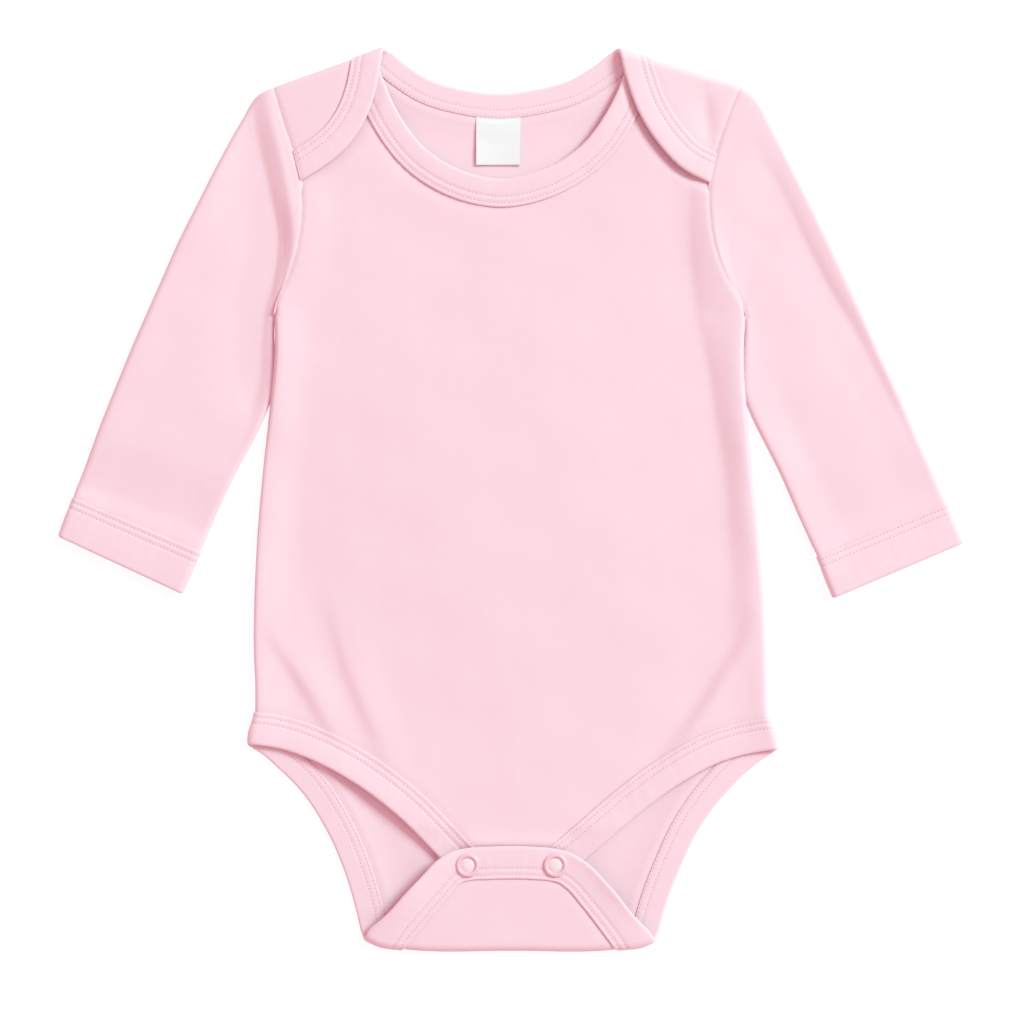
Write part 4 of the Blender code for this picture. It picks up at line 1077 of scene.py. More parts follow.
def side_rows(low, high):
    """Rows of points along both rolled side edges, on the flat, every 15 degrees of the roll."""
    heights = np.arange(low, high, ROW_STEP)
    rows = []
    for angle in QUARTER_TURN[:-1]:
        rows.append(np.column_stack([side(heights, 1) + ROLL * (1.0 - angle), heights]))
        rows.append(np.column_stack([side(heights, 2) - ROLL * (1.0 - angle), heights]))
    return rows


def seam_rows(line, hand):
    """Rows of points close beside a seam, on its inner side, where the groove is steep."""
    line = at(line, np.arange(1.0, lengths(line)[-1] - 1.0, SEAM_POINTS))
    return [offset(line, hand * gap) for gap in SEAM_GAPS]


def inside_binding(strip):
    """The panel's edge inside a binding."""
    edge, seam = strip
    across = seam - edge
    return (edge + EDGE_IN_BINDING * across / np.linalg.norm(across, axis=1)[:, None])[::2]


def within(outline, points, batch=4000):
    """Which points lie inside a closed outline, by counting the sides to their right."""
    found = np.zeros(len(points), bool)
    a, b = outline, np.roll(outline, -1, axis=0)
    rise = np.where(b[:, 1] == a[:, 1], 1.0, b[:, 1] - a[:, 1])
    for start in range(0, len(points), batch):
        x, y = points[start : start + batch, :1], points[start : start + batch, 1:]
        spans = (a[:, 1] > y) != (b[:, 1] > y)
        cuts = a[:, 0] + (y - a[:, 1]) * (b[:, 0] - a[:, 0]) / rise
        found[start : start + batch] = (spans & (x < cuts)).sum(axis=1) % 2 == 1
    return found


def trimmed(outline, rows):
    """The rows' points that lie inside the outline."""
    return [row[within(outline, row)] for row in rows]


def panel_outline(leg, arms, neck):
    """The closed outline of a panel: left side, left armhole, neck, right armhole, right side, leg edge."""
    left = side_seam(1, leg[0, 1], ARMPIT)[1:-1]
    right = side_seam(2, leg[-1, 1], ARMPIT)[-2:0:-1]
    return np.concatenate([left, arms[0], neck, arms[1][::-1], right, leg[::-1]])


def pressed(points, strips):
    """How deep a panel's flat points are pressed where they enter a binding."""
    return EDGE_DIP * bell(np.minimum(*(nearest(points, seam)[0] for _, seam in strips)), EDGE_REACH)


# %% [markdown]
# ## The front
#
# The front runs from the tucked ends under the shoulder laps, round the neck, down both armholes and
# sides to the leg openings and the tab. Its neck and leg edges end inside their bindings.

# %% Front
def armhole_flat(rows, shoulder, over=False):
    """Flat line of an armhole from the armpit up: to the tuck, or round the shoulder onto the lap."""
    seam = smooth(rows)
    line = at(seam, np.arange(0.0, lengths(seam)[-1], ARMHOLE_STEP))[::-1]
    line = np.concatenate([seam[-1:], line])
    beyond = shoulder_measure(line, shoulder)[2]
    if not over:
        return rolled_out(line[beyond < -TUCK])
    lower, upper = unfolded(line, shoulder, False), unfolded(line, shoulder, True)[::-1]
    lower[beyond < 0] = rolled_out(line[beyond < 0])
    return np.concatenate([lower, upper[1:]])


def lay_front_panel(points, depth):
    """Where the front panel lies: pressed down where it enters its bindings."""
    return lay_front(points, depth + pressed(points, (FRONT_NECK_STRIP, FRONT_LEG_STRIP)))


leg, neck = inside_binding(FRONT_LEG_STRIP), inside_binding(FRONT_NECK_STRIP)
arms = [armhole_flat(rows, shoulder) for rows, shoulder in zip(ARMHOLES, SHOULDERS)]
front_outline = panel_outline(leg, arms, neck)
front_rows = side_rows(leg[0, 1], ARMPIT) + seam_rows(arms[0], -1.0) + seam_rows(arms[1], 1.0)
front = panel("front_cloth", front_outline, trimmed(front_outline, front_rows), lay_front_panel, interlock)

# %% [markdown]
# ## The back
#
# The back is one piece with its two shoulder laps and its flap. Its armhole edge runs up the lower
# layer, round the shoulder fold and down the lap.

# %% Back
def lay_back_panel(points, depth):
    """Where the back panel lies: lifted off the table beside its bindings."""
    banded = 1 - ease(nearest(points, BACK_EDGES)[0], *BAND_LIFT_REACH)
    return lay_back(points, depth + pressed(points, (BACK_NECK_STRIP, BACK_LEG_STRIP)), banded)


def fold_rows():
    """Rows of points round the shoulder folds and the crotch fold, on the flat."""
    rows = []
    for shoulder in SHOULDERS:
        sleeve_end, along, out, length = shoulder_frame(shoulder)
        s = np.arange(-3.0, length + 8.0, FOLD_STEP)
        radius = np.interp(s / length, (0.0, 1.0), SHOULDER_ROLL)
        for angle in HALF_TURN:
            rows.append(sleeve_end + s[:, None] * along + ((angle - 1.0) * radius)[:, None] * out)
    x = np.arange(-75.0, 76.0, FOLD_STEP)
    rows += [np.column_stack([x, crotch_start(x) - angle * CROTCH_ROLL]) for angle in HALF_TURN]
    return rows


leg, neck = inside_binding(BACK_LEG_STRIP), inside_binding(BACK_NECK_STRIP)
arms = []
for rows, shoulder, corner in zip(ARMHOLES, SHOULDERS, neck[[0, -1]]):
    line = armhole_flat(rows, shoulder, True)
    arms.append(line[: nearest(corner[None], line)[1][0]])
back_outline = panel_outline(leg, arms, neck)
back_rows = side_rows(leg[0, 1], ARMPIT) + fold_rows() + seam_rows(arms[0], -1.0) + seam_rows(arms[1], 1.0)
back = panel("back_cloth", back_outline, trimmed(back_outline, back_rows), lay_back_panel, interlock)

# %% [markdown]
# ## The sleeves
#
# A sleeve is a tube laid flat: a top layer, a bottom layer on the table, and a rolled fold along each
# edge. Its section on the plan is a line from the outer edge to the inner one. At the armhole that line
# has the whole curve of the armhole, and towards the elbow it becomes straight. The surface is a
# function of two parameters: how far down the sleeve, and how far round the tube.

# %% Rings of a flat tube
PATH_POINTS = 160  # along the plan line of a section
ROUND_FLAT, ROUND_ROLL = 54, 10  # points of a ring across one layer, and round each rolled edge
SLEEVE_STEP, SEAM_STEP = 1.5, 0.45  # spacing of the rings, and of those close to the armhole
NEAR_SEAM = 4.0
UNDERARM_DIP, UNDERARM_REACH = 0.35, 0.8  # the underarm seam, on the inner rolled edge
CUFF_DIP = 1.0  # how far the cloth sinks a little above the cuff
CUFF_SINK, CUFF_RISE = (-46.0, -21.0), (-20.0, -10.6)  # over what distances from the sleeve's end
IN_CUFF = (16.0, 6.0)  # over what distance before its end the sleeve enters the cuff
INTO_CUFF = 0.55  # how far it runs into the cuff, as a share of the cuff's width
ALLOWANCE, ALLOWANCE_DIP = 0.7, 0.3  # how far a sleeve's start reaches in under the body, and dips
# Distances down the sleeve over which its own creases begin, those of the body end, and its middle
# begins to sag and its underarm seam to show
OWN_RISE, BODY_RISE, SAG_START, UNDERARM_START = (0.3, 4.0), (0.0, 8.0), (4.0, 24.0), (2.0, 12.0)
LEVEL_TOP = (130.0, 140.0)  # heights over which the body no longer lifts the sleeve's start


def section_paths(rows, line):
    """Plan lines of tube sections. A row holds both edges, the share of the armhole's curve, a radius."""
    t = np.linspace(0.0, 1.0, PATH_POINTS)[:, None]
    bent = at(line, t[:, 0] * lengths(line)[-1]) - (line[0] + t * (line[-1] - line[0]))
    outer, inner, share = rows[:, None, 0:2], rows[:, None, 2:4], rows[:, 4, None, None]
    return outer + t * (inner - outer) + share * bent


def around(flat_count, roll_count):
    """Where the points of a ring stand: share of the flat run, which roll, and the angle from the top."""
    flat = np.linspace(0.0, 1.0, flat_count)
    arc = np.linspace(0.0, math.pi, roll_count + 2)[1:-1]
    ones = np.ones(roll_count)
    share = np.concatenate([flat, ones, flat[::-1], 0 * ones])
    hand = np.concatenate([0 * flat, ones, 0 * flat, -ones])
    angle = np.concatenate([0 * flat, arc, 0 * flat + math.pi, arc[::-1]])
    return share, hand, angle


def ring(path, radius, depth, share, hand, angle):
    """One ring of a flat tube over a path, at a depth in its wall.

    Depth may differ from point to point. Returns the points, and each point's distance from the edges.
    """
    total = lengths(path)[-1]
    distance = radius + share * (total - 2 * radius)
    place = at(path, distance)
    heading = np.column_stack([np.interp(distance, lengths(path), h) for h in headings(path).T])
    reach = radius - depth
    out = place + (hand * reach * np.sin(angle))[:, None] * heading
    height = radius + reach * np.cos(angle)
    return np.column_stack([out, height]), np.minimum(distance, total - distance)


print("a ring of a sleeve has", len(around(ROUND_FLAT, ROUND_ROLL)[0]), "points")

# %% [markdown]
# ### From the armhole to the cuff
#
# Each ring is raised by the creases near it. At the armhole it takes over the height of the body, and at
# the wrist it is drawn in, to run inside the cuff. The rings are made once more one layer deeper in the
# wall, and both surfaces are joined at the two ends.

# %% Sleeves
def sleeve_grid(rows, line, crease_rows, wall):
    """Rings of a sleeve from the armhole to the cuff, at a depth in its wall, and their flat places."""
    share, hand, angle = around(ROUND_FLAT, ROUND_ROLL)
    top = (1 + np.cos(angle)) / 2
    paths = section_paths(rows, line)
    down = lengths(rows[:, :4].reshape(-1, 2, 2).mean(axis=1))
    seam, _ = ring(paths[0], rows[0, 5], 0.0, share, hand, angle)
    at_seam = free_rise(seam[:, :2]) * (1 - ease(seam[:, 1], *LEVEL_TOP))
    rings, cuts = [], []
    for path, radius, so_far in zip(paths, rows[:, 5], down):
        plan, edge = ring(path, radius, 0.0, share, hand, angle)
        rise = creases(plan[:, :2], crease_rows) + unevenness(plan[:, :2]) * ease(edge, *EVEN_EDGE)
        rise = rise * ease(so_far, *OWN_RISE) + at_seam * (1 - ease(so_far, *BODY_RISE))
        above_cuff = so_far - down[-1]
        rise -= CUFF_DIP * ease(above_cuff, *CUFF_SINK) * (1 - ease(above_cuff, *CUFF_RISE))
        rise -= SLEEVE_SAG * ease(edge, *SAG_REACH) * ease(so_far, *SAG_START)
        in_cuff = ease(so_far, down[-1] - IN_CUFF[0], down[-1] - IN_CUFF[1])
        dip = armhole_dip(plan[:, :2]) + BAND_LIFT * (1 - top) * in_cuff
        underarm = bell(radius * (angle - QUARTER), UNDERARM_REACH) * (hand > 0)
        dip += UNDERARM_DIP * underarm * ease(so_far, *UNDERARM_START)
        points, _ = ring(path, radius, dip + wall, share, hand, angle)
        points[:, 2] += settled(rise) * top
        rings.append(points)
        cuts.append(np.column_stack([lengths(plan), np.full(len(plan), -so_far)]))
    tucked = rings[0] - ALLOWANCE * np.array((np.sign(rows[0, 0]), 0.0, 0.0))
    tucked[:, 2] -= ALLOWANCE_DIP * np.cos(angle)
    return np.array([tucked] + rings), np.array(cuts[:1] + cuts)


def sleeve(name, sections, cuff_corners, armhole, crease_rows):
    """A sleeve: its outer and inner surfaces, joined at the armhole and inside the cuff."""
    line = smooth(armhole)
    rows = [(*outer, *inner, share) for outer, inner, share in sections]
    wrist, rim = np.array(sections[-1][:2]), np.array(cuff_corners)
    rows.append((*(wrist + INTO_CUFF * (rim - wrist)).ravel(), 0.0))
    rows = np.column_stack([rows, np.linspace(ROLL, CUFF_ROLL, len(rows))])
    fine = smooth(rows, 0.25)
    along = lengths(fine)
    close, further = np.arange(0.0, NEAR_SEAM, SEAM_STEP), np.arange(NEAR_SEAM, along[-1], SLEEVE_STEP)
    rows = at(fine, np.concatenate([close, further, [along[-1]]]))
    outside, cut = sleeve_grid(rows, line, crease_rows, 0.0)
    inner_side, _ = sleeve_grid(rows, line, crease_rows, KNIT)
    grid = np.concatenate([outside, inner_side[::-1]])
    flat = np.concatenate([cut, cut[::-1]]).reshape(-1, 2)
    faces = grid_faces(*grid.shape[:2], rows_close=True, columns_close=True)
    return make(name, grid.reshape(-1, 3), faces, interlock, flat)


ARMS = {
    "left": (SLEEVE_LEFT, CUFF_LEFT, ARMHOLE_LEFT, SLEEVE_LEFT_CREASES),
    "right": (SLEEVE_RIGHT, CUFF_RIGHT, ARMHOLE_RIGHT, SLEEVE_RIGHT_CREASES),
}
sleeve_left, sleeve_right = [sleeve(f"sleeve_{which}_cloth", *arm) for which, arm in ARMS.items()]

# %% [markdown]
# ## The bindings
#
# A binding is a strip folded round the raw edge: a shown turning, a round fold and a slightly narrower
# hidden turning. Its section is drawn once, as a closed line of places across the strip and depths in
# it, with a shallow groove under each row of stitches. It is then carried along the edge. Stitching
# stretches a strip unevenly, so its face also rises and falls a little along the way.

# %% Section of a folded strip
STITCH_ROWS = (1.9, 4.7)  # distances of the two rows from the strip's seam edge
INNER_ROWS = (0.8, 3.7)  # and of the rows inside, from the edge of the hidden turning
GROOVE, GROOVE_REACH = 0.24, 0.55
INNER_GROOVE = 0.6 * GROOVE
CROWN = 0.14  # how far the strip bulges between its fold and the first row
FOLD_RADIUS = (KNIT + 2 * STRIP) / 2
BINDING_WAVE = 0.06


def strip_face(across, width):
    """Depth of the shown face of a strip at places across it: grooves at the rows, and a low bulge."""
    depth = -STRIP - CROWN * np.sin(np.pi * np.clip(across / (width - STITCH_ROWS[1]), 0.0, 1.0))
    for row in STITCH_ROWS:
        depth = depth + GROOVE * bell(across - (width - row), GROOVE_REACH)
    return depth


def strip_section(width):
    """Closed section of a folded strip: places across it from the fold, depths, and a share of wave.

    The outer line runs from the seam edge over the shown face, round the fold, and along the hidden
    face. The inner line comes back the same way, one layer in.
    """
    middle = KNIT / 2
    shown = np.arange(width - 0.25, FOLD_RADIUS, -0.42)
    turn = np.linspace(0.0, math.pi, 9)
    hidden_end = HIDDEN_SHARE * width
    hidden = np.linspace(FOLD_RADIUS, hidden_end - 0.2, 26)
    inner = np.linspace(hidden_end, FOLD_RADIUS, 5)
    line = [(width, -0.08), (width, -STRIP + 0.2)]
    line += list(zip(shown, strip_face(shown, width)))
    line += list(zip(FOLD_RADIUS - FOLD_RADIUS * np.sin(turn), middle - FOLD_RADIUS * np.cos(turn)))
    grooves = sum(INNER_GROOVE * bell(hidden - (hidden_end - row), GROOVE_REACH) for row in INNER_ROWS)
    line += list(zip(hidden[1:], (KNIT + STRIP - grooves)[1:]))
    line += [(hidden_end, KNIT + STRIP - 0.2)]
    line += [(x, KNIT) for x in inner]
    small = FOLD_RADIUS - STRIP
    line += list(zip(FOLD_RADIUS - small * np.sin(turn[1:-1]), middle + small * np.cos(turn[1:-1])))
    line += [(x, 0.0) for x in np.linspace(FOLD_RADIUS, width - 0.3, 6)]
    across, depth = np.array(line).T
    wave = np.where(depth < -0.3, ease(across, 0.0, 4.0), 0.0)
    return across, depth, wave


def strip_waves(along):
    """How far the face sinks along the strip: two waves of unlike length, never above the face."""
    short = np.sin(2 * np.pi * along / 5.7 + 1.9 * np.sin(along / 13.0))
    long = 0.6 * np.sin(2 * np.pi * along / 9.3)
    return BINDING_WAVE * (1 + (short + long) / 1.6) / 2


def travelled(across):
    """How far the strip's own cloth has run at each point of its section."""
    return np.cumsum(np.abs(np.diff(across, prepend=across[0])))


across, depth, _ = strip_section(LEG_WIDTH)
print("strip section:", len(across), "points,", round(float(depth.max() - depth.min()), 2), "mm thick")

# %% Carry the section along an edge
SNAP_DIP, SNAP_REACH = 0.35, 5.5  # how far a snap's ring presses the strip down round it


def binding(name, strip, width, lay):
    """A binding: the section at every station of its edge, laid with its panel and capped at both ends."""
    edge, seam = strip
    across, depth, wave = strip_section(width)
    share = across / width
    flat = edge[:, None] + share[None, :, None] * (seam - edge)[:, None]
    along = lengths(edge)
    sunk = depth[None] + strip_waves(along)[:, None] * wave[None]
    grid = lay(flat.reshape(-1, 2), sunk.ravel())
    cut = pairs(along[:, None], travelled(across)[None])
    count = len(across)
    faces = grid_faces(len(edge), count, columns_close=True)
    last_ring = (len(edge) - 1) * count
    caps = [list(range(count)), list(range(last_ring + count - 1, last_ring - 1, -1))]
    return make(name, grid, faces, binding_knit, cut.reshape(-1, 2), caps)


def dimpled(points, depth):
    """Lays the back leg binding, pressed in under each snap ring."""
    laid = place_back(points, 0.0)[:, :2]
    near = sum(bell(np.linalg.norm(laid - snap, axis=1), SNAP_REACH) for snap in SNAPS)
    return lay_back(points, depth + SNAP_DIP * (near * turned_share(points)) * (depth < 0))


STRIPS = {
    "front_neck": (FRONT_NECK_STRIP, FRONT_NECK_WIDTH, lay_front),
    "back_neck": (BACK_NECK_STRIP, BACK_NECK_WIDTH, lay_back),
    "front_leg": (FRONT_LEG_STRIP, LEG_WIDTH, lay_front),
    "back_leg": (BACK_LEG_STRIP, LEG_WIDTH, dimpled),
}
bindings = [binding(f"{where}_strip", *strip) for where, strip in STRIPS.items()]
front_neck, back_neck, front_leg, back_leg = bindings

# %% [markdown]
# ## The cuffs
#
# A cuff is the same folded strip, sewn round the end of the sleeve. Its section goes round the flat tube
# instead of along an edge.

# %% Cuffs
CUFF_FLAT, CUFF_ARC = 80, 12  # points across one layer of a cuff, and round each rolled edge
CUFF_SAG = SLEEVE_SAG * 0.8


def cuff_ring(wrist, rim, across, depth, width, wave=0.0):
    """One line round a cuff, at a place across its strip: flush with the table below, proud on top."""
    share, hand, angle = around(CUFF_FLAT, CUFF_ARC)
    path = np.linspace(*(rim + across / width * (wrist - rim)), PATH_POINTS)
    top = (1 + np.cos(angle)) / 2
    plan, edge = ring(path, CUFF_ROLL, 0.0, share, hand, angle)
    waves = wave * strip_waves(lengths(plan))
    points, _ = ring(path, CUFF_ROLL, depth + waves + BAND_LIFT * (1 - top), share, hand, angle)
    points[:, 2] -= CUFF_SAG * ease(edge, *SAG_REACH) * top * ease(across, -4.0, width)
    return points


def cuff_lines(sections, corners, *_):
    """The wrist line and the free edge of a cuff, and its width."""
    wrist, rim = np.array(sections[-1][:2]), np.array(corners)
    return wrist, rim, float(np.linalg.norm((wrist - rim).mean(axis=0)))


def cuff(name, arm):
    """A cuff: every point of the strip's section is one closed line round the wrist."""
    wrist, rim, width = cuff_lines(*arm)
    across, depth, wave = strip_section(width)
    grid = np.array([cuff_ring(wrist, rim, x, d, width, w) for x, d, w in zip(across, depth, wave)])
    cut = pairs(lengths(grid[0])[None], travelled(across)[:, None])
    faces = grid_faces(*grid.shape[:2], rows_close=True, columns_close=True)
    return make(name, grid.reshape(-1, 3), faces, binding_knit, cut.reshape(-1, 2))


cuff_left, cuff_right = [cuff(f"cuff_{which}_strip", arm) for which, arm in ARMS.items()]

# %% [markdown]
# ## The stitches
#
# Bindings on knits are sewn with a cover stitch. It shows two rows of short stitches outside, and on
# the inside a looper thread that zigzags between them. Every stitch is the same small grain of thread,
# pulled into the groove. All the grains of one binding are placed at once, as arrays: a place, and three
# directions that say which way the grain runs, how it lies and which way is out of the cloth.

# %% Rows of stitches
PITCH = 1.7  # length of one stitch, with its gap
GRAIN = (1.1, 0.42, 0.3)  # length, width and height of the thread that shows
THREAD_DEPTH = -STRIP + GROOVE - 0.1  # half sunk in its groove
SNAP_CLEAR = 5.6  # no stitch shows nearer than this to a snap's axis


def grain():
    """A grain of thread, one long, and its faces: a hexagonal spindle that narrows to both ends."""
    x = np.array((-0.36, 0.0, 0.36))[:, None]
    radius = 0.5 * np.array((0.72, 1.0, 0.72))[:, None]
    turn = np.arange(6) * math.pi / 3
    rings = np.stack(np.broadcast_arrays(x, radius * np.cos(turn), radius * np.sin(turn)), axis=-1)
    points = np.concatenate([rings.reshape(-1, 3), [(-0.5, 0.0, -0.3), (0.5, 0.0, -0.3)]])
    faces = grid_faces(3, 6, columns_close=True)
    quads = np.concatenate([faces[:, [0, 1, 2]], faces[:, [0, 2, 3]]])
    k = np.arange(6)
    near_tip = np.column_stack([k, np.full(6, 18), (k + 1) % 6])
    far_tip = np.column_stack([12 + k, 12 + (k + 1) % 6, np.full(6, 19)])
    return points, np.concatenate([quads, near_tip, far_tip])


def frames(line, above):
    """The stitches' places along a laid line, and the directions along it, across it and out of it."""
    along = lengths(line)
    count = int(along[-1] / PITCH)
    where = (np.arange(count) + 0.5) * along[-1] / count
    place = at(line, where)
    run = at(line, where + 0.3) - at(line, where - 0.3)
    run /= np.linalg.norm(run, axis=1)[:, None]
    out = np.column_stack([np.interp(where, along, column) for column in (above - line).T])
    out -= (out * run).sum(axis=1)[:, None] * run
    out /= np.linalg.norm(out, axis=1)[:, None]
    return place, run, np.cross(out, run), out


def stitches(name, rows):
    """One piece with a grain for every stitch. Each row is a laid line and the same line above it."""
    shape, faces = grain()
    shape = shape * GRAIN
    made, count = [], 0
    for line, above in rows:
        place, *ways = frames(line, above)
        turned_shape = sum(shape[None, :, k, None] * way[:, None] for k, way in enumerate(ways))
        made.append((place[:, None] + turned_shape).reshape(-1, 3))
        count += len(place)
    every = faces[None] + (np.arange(count) * len(shape))[:, None, None]
    return make(name, np.concatenate(made), every.reshape(-1, 3), thread)


def band_row(strip, width, lay, from_seam, depth):
    """A laid line along a strip, a distance from its seam edge and at a depth, and the line above it."""
    edge, seam = strip
    flat = edge + (1 - from_seam / width) * (seam - edge)
    side_up = -0.1 if depth < 0 else 0.1
    sunk = depth + strip_waves(lengths(edge)) * (depth < 0)
    return lay(flat, sunk), lay(flat, sunk + side_up)


def shown_rows(strip, width, lay):
    """Both rows on the shown face of a strip."""
    return [band_row(strip, width, lay, row, THREAD_DEPTH) for row in STITCH_ROWS]


def clear_of_snaps(rows):
    """The rows in stretches, without the places on the flap that a snap ring covers."""
    kept = []
    for line, above in rows:
        gaps = [np.linalg.norm(line[:, :2] - snap, axis=1) for snap in SNAPS]
        clear = (np.min(gaps, axis=0) > SNAP_CLEAR) | (line[:, 2] < FOLDED_HEIGHT[0])
        for stretch in np.split(np.arange(len(line)), np.flatnonzero(np.diff(clear.astype(int))) + 1):
            if clear[stretch[0]] and len(stretch) > 4:
                kept.append((line[stretch], above[stretch]))
    return kept


seams = []
for where, strip in STRIPS.items():
    rows = shown_rows(*strip)
    seams.append(stitches(f"{where}_stitches", clear_of_snaps(rows) if where == "back_leg" else rows))
for which, arm in ARMS.items():
    wrist, rim, width = cuff_lines(*arm)
    rows = []
    for from_seam in STITCH_ROWS:
        depths = (THREAD_DEPTH, THREAD_DEPTH - 0.1)
        two = (cuff_ring(wrist, rim, width - from_seam, depth, width, 1.0) for depth in depths)
        rows.append([np.vstack([line, line[:1]]) for line in two])
    seams.append(stitches(f"cuff_{which}_stitches", rows))

# %% [markdown]
# On the inside of the back neck and of the back leg openings the other side of the stitch can be seen:
# two rows of small chain links on the hidden turning, a little nearer the fold. They are made of the
# same grains.

# %% Inner rows
LINK_DEPTH = KNIT + STRIP - INNER_GROOVE + 0.08
for where in ("back_neck", "back_leg"):
    strip, width, _ = STRIPS[where]
    from_seam = [(1 - HIDDEN_SHARE) * width + row for row in INNER_ROWS]
    rows = [band_row(strip, width, lay_back, row, LINK_DEPTH) for row in from_seam]
    seams.append(stitches(f"{where}_inner_stitches", rows))

# %% [markdown]
# ## The size label
#
# The label is a short piece of woven ribbon, folded in half, its ends caught under the neck binding. It
# is left blank. Its section runs down the front, round the fold and up behind, and is carried across
# the width, where the ribbon lifts a little at its sides.

# %% Label
LABEL_WIDTH, LABEL_LENGTH = 19.4, 21.2
LABEL_MIDDLE, LABEL_TOP = -5.1, 168.3
RIBBON = 0.3  # thickness of the ribbon
LABEL_FOLD = 0.45  # radius of its fold
LABEL_HELD = 1.2  # how far its ends run in under the binding
LABEL_LIFT = 0.15  # how far it lies off the cloth


def label():
    """The folded ribbon: a closed section in length and height, at places across the width."""
    bottom = LABEL_TOP - LABEL_LENGTH
    down = np.linspace(LABEL_TOP + LABEL_HELD, bottom + LABEL_FOLD, 30)
    turn = np.linspace(0.0, math.pi, 9)[1:-1]
    section = []
    for radius in (LABEL_FOLD, LABEL_FOLD - RIBBON):
        y = np.concatenate([down, bottom + LABEL_FOLD - radius * np.sin(turn), down[::-1]])
        z = LABEL_FOLD + radius * np.concatenate([0 * down + 1.0, np.cos(turn), 0 * down - 1.0])
        section.append((y, z))
    y, z = (np.concatenate([outer, inner[::-1]]) for outer, inner in zip(*section))
    x = LABEL_MIDDLE + np.linspace(-0.5, 0.5, 33) * LABEL_WIDTH
    plan = pairs(x[:, None], y[None]).reshape(-1, 2)
    height = np.broadcast_to(z[None], (len(x), len(y))).ravel()
    away, below = (plan[:, 0] - LABEL_MIDDLE) / (LABEL_WIDTH / 2), LABEL_TOP - plan[:, 1]
    curl = 0.35 * away**2 * ease(below, 0.0, 16.0) + 0.12 * np.sin(plan[:, 1] / 3.3)
    free = 0.1 + 0.9 * ease(below, 0.4, 6.0)  # under the binding the ribbon is pressed flat
    laid = lay_back_panel(plan, KNIT + LABEL_LIFT + height * free + np.maximum(curl, 0.0))
    faces, count = grid_faces(len(x), len(y), columns_close=True), len(y)
    caps = [list(range(count)), list(range(len(laid) - 1, len(laid) - count - 1, -1))]
    return make("size_label", laid, faces, ribbon, plan, caps)


size_label = label()

# %% [markdown]
# ## The snaps
#
# A prong snap shows an enamelled ring on the flap, with a dome of cloth pushed up in its middle. The
# ring is a rounded section spun about the snap's axis, and the dome is a low crown of the strip's knit.
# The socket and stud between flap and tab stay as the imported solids.

# %% Snap rings
RING_OUTER, RING_INNER, RING_HEIGHT = 5.2, 3.35, 1.1
RING_BASE = 2 * CROTCH_ROLL + 0.55
RING_RIM = 0.45  # height of the ring's upright sides
DOME_HEIGHT, DOME_EDGE = 0.85, RING_INNER + 0.15
SPOKES = 72


def spun(name, profile, centre, material):
    """A closed profile of radii and heights spun about an upright axis."""
    radius, height = np.array(profile).T[..., None]
    turn = np.linspace(0.0, 2 * np.pi, SPOKES, endpoint=False)
    around_axis = (centre[0] + radius * np.cos(turn), centre[1] + radius * np.sin(turn), height)
    points = np.stack(np.broadcast_arrays(*around_axis), axis=-1)
    faces = grid_faces(len(radius), SPOKES, rows_close=True, columns_close=True)
    cut = points[..., :2].reshape(-1, 2)
    return make(name, points.reshape(-1, 3), faces, material, cut)


bow = np.linspace(0.0, math.pi, 17)
ring_middle, ring_half = (RING_OUTER + RING_INNER) / 2, (RING_OUTER - RING_INNER) / 2
ring_profile = [(RING_OUTER, RING_BASE)]
for angle in bow:
    height = RING_BASE + RING_RIM + (RING_HEIGHT - 0.35) * math.sin(angle) ** 0.8
    ring_profile.append((ring_middle + ring_half * math.cos(angle), height))
ring_profile.append((RING_INNER, RING_BASE))
dome_radii = np.linspace(0.02, DOME_EDGE, 12)
dome_profile = [(r, RING_BASE + DOME_HEIGHT * (1 - (r / (RING_INNER + 0.4)) ** 2.6)) for r in dome_radii]
dome_profile += [(DOME_EDGE, RING_BASE - 0.3), (0.02, RING_BASE - 0.3)]
rings, domes = [], []
for which, place in zip(ARMS, SNAPS):
    rings.append(spun(f"snap_{which}_ring", ring_profile, place, enamel))
    # the domes wear the paler knit, a painted highlight
    domes.append(spun(f"snap_{which}_cloth_dome", dome_profile, place, dome_knit_painted_highlight))

# %% [markdown]
# ## Fasten every piece to the imported model
#
# The garment is one soft body, so everything rides on the same frame. Each piece takes the place of its
# own solid. Each binding and cuff also prints how large it was cut, measured on the flat.

# %% Ride and replace
STANDS_FOR = (
    (front, "front_panel", "knit"),
    (back, "back_panel", "knit"),
    (sleeve_left, "sleeve_left", "knit"),
    (sleeve_right, "sleeve_right", "knit"),
    (cuff_left, "cuff_left", "binding"),
    (cuff_right, "cuff_right", "binding"),
    (front_neck, "front_neck_binding", "binding"),
    (back_neck, "back_neck_binding", "binding"),
    (front_leg, "front_leg_binding", "binding"),
    (back_leg, "back_leg_binding", "binding"),
    (size_label, "neck_label", "label"),
    (rings[0], "snap_ring_left", "snap_enamel"),
    (rings[1], "snap_ring_right", "snap_enamel"),
)
for piece, node, slot in STANDS_FOR:
    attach(piece, "root")
    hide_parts(node)
for piece in (*seams, *domes):
    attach(piece, "root")
for name in ("snap_press_left", "snap_press_right"):
    frame["nodes"][name].data.materials.clear()
    frame["nodes"][name].data.materials.append(plating)


for piece, (sections, *_) in zip((sleeve_left, sleeve_right), ARMS.values()):
    outer, inner = (np.array(line) for line in list(zip(*sections))[:2])
    length = lengths(outer)[-1]
strips = [(lengths((edge + seam) / 2)[-1], width) for (edge, seam), width, _ in STRIPS.values()]
for arm in ARMS.values():
    _, rim, width = cuff_lines(*arm)
    strips.append((2 * np.linalg.norm(rim[0] - rim[1]), width))
for piece, (length, width) in zip((*bindings, cuff_left, cuff_right), strips):
    print(piece.name, "was cut", round(length), "by", round((1 + HIDDEN_SHARE) * width, 1), "mm")

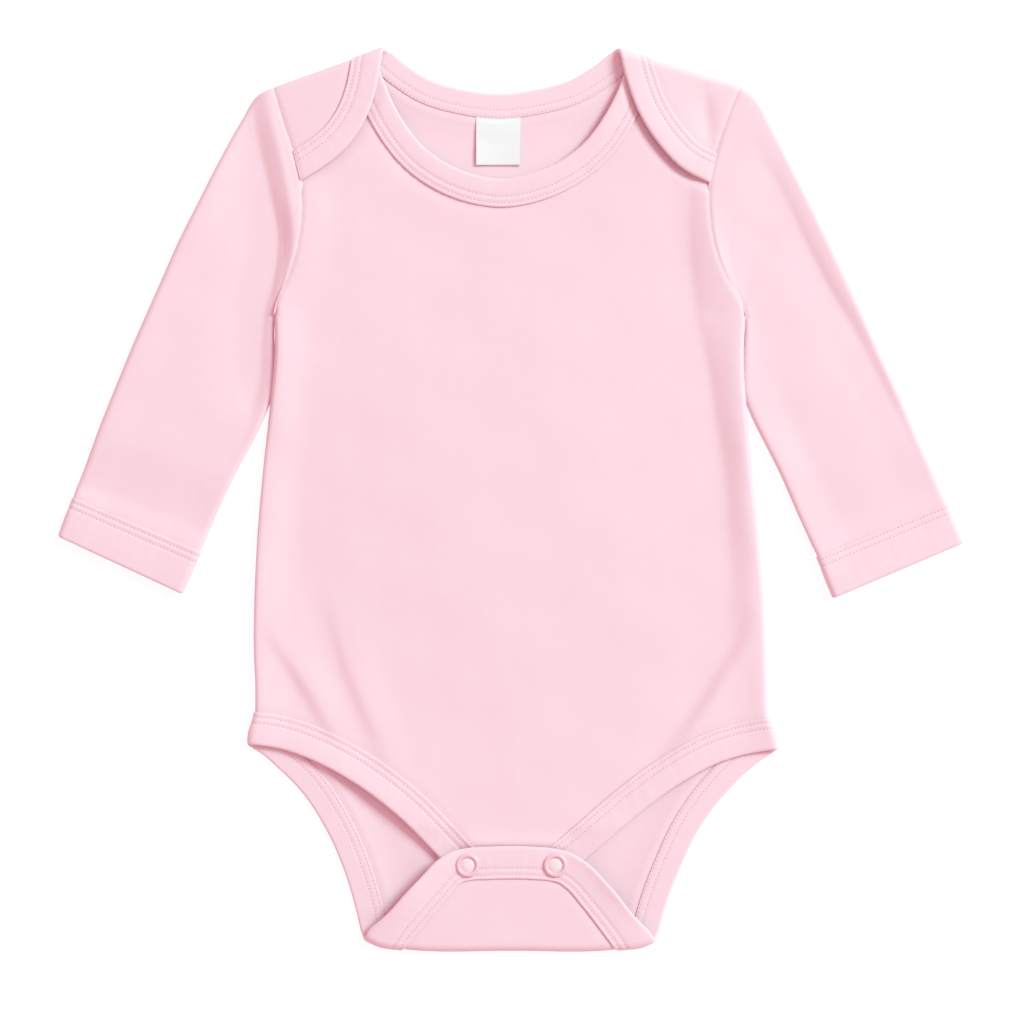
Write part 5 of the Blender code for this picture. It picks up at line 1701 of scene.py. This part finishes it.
# %% [markdown]
# ## Floor, light and camera
#
# The garment lies on a white table that is lit from within, under a large soft lamp from the upper right
# and bright even light from everywhere else, so the shadows stay pale. The camera looks straight down
# from well above, through a long lens.

# %% Stage
FLOOR_SIZE = 6.0  # metres
FLOOR_DROP = 0.3  # the table lies just under the cloth, so that the two never share a plane
FRAME_WIDTH, FRAME_MIDDLE = 450.6, (0.9, -5.5)  # what the camera sees
LENS, SENSOR = 135.0, 36.0
VIEW_HEIGHT = 3.0  # the height that the frame's width is measured at
KEY_FROM, KEY_UP = 56.0, 39.0  # degrees: to the right of the neck's direction, and above the table
KEY_AWAY, KEY_SIZE = 6.0, 2.2  # metres
KEY_POWER = 348.0
FILL_STRENGTH = 0.84
GLOW = 0.86  # of the table
FILL_TINT, KEY_TINT = (1.0, 0.64, 0.69), (0.52, 1.0, 0.935)

bpy.ops.mesh.primitive_plane_add(size=FLOOR_SIZE, location=(0.0, 0.0, -FLOOR_DROP * MM))
floor = bpy.context.object
floor.name = "light_table"
board, tree, shader = new_material("opal_acrylic", Roughness=0.8, Specular_IOR_Level=0.1)
place = add(tree, "ShaderNodeTexCoord").outputs["Object"]
cloudy(tree, shader, place, 2.5, 2.0, "7a7a7a", "7e7e7e")
shader.inputs["Emission Color"].default_value = (1.0, 1.0, 1.0, 1.0)
shader.inputs["Emission Strength"].default_value = GLOW
floor.data.materials.append(board)

world = bpy.data.worlds.new("soft_room")
world.use_nodes = True
room = world.node_tree
room.nodes.clear()
glow = add(room, "ShaderNodeBackground", Color=(*FILL_TINT, 1.0), Strength=FILL_STRENGTH)
# the wall behind the table looks plain; its tint only shows in what it lights
wall = add(room, "ShaderNodeBackground", Color=linear("fefefe"), Strength=1.0)
ray = add(room, "ShaderNodeLightPath")
seen = add(room, "ShaderNodeMixShader", _0=ray.outputs["Is Camera Ray"], _1=glow.outputs[0])
room.links.new(wall.outputs[0], seen.inputs[2])
add(room, "ShaderNodeOutputWorld", Surface=seen.outputs[0])
bpy.context.scene.world = world

key = bpy.data.lights.new("key", "AREA")
key.shape = "SQUARE"
key.size = KEY_SIZE
key.energy = KEY_POWER
key.color = KEY_TINT
key_lamp = placed("key", key)
bearing, up = math.radians(KEY_FROM), math.radians(KEY_UP)
towards = Vector((math.sin(bearing) * math.cos(up), math.cos(bearing) * math.cos(up), math.sin(up)))
key_lamp.location = towards * KEY_AWAY
key_lamp.rotation_mode = "QUATERNION"
key_lamp.rotation_quaternion = towards.to_track_quat("Z", "Y")

camera = bpy.data.cameras.new("overhead")
camera.lens, camera.sensor_width = LENS, SENSOR
camera_object = placed("overhead", camera)
distance = FRAME_WIDTH / SENSOR * LENS + VIEW_HEIGHT
camera_object.location = (FRAME_MIDDLE[0] * MM, FRAME_MIDDLE[1] * MM, distance * MM)
camera.clip_start, camera.clip_end = 0.1, 20.0
bpy.context.scene.camera = camera_object
bpy.context.scene.view_settings.view_transform = "Standard"
print("camera", round(distance), "mm above the table")
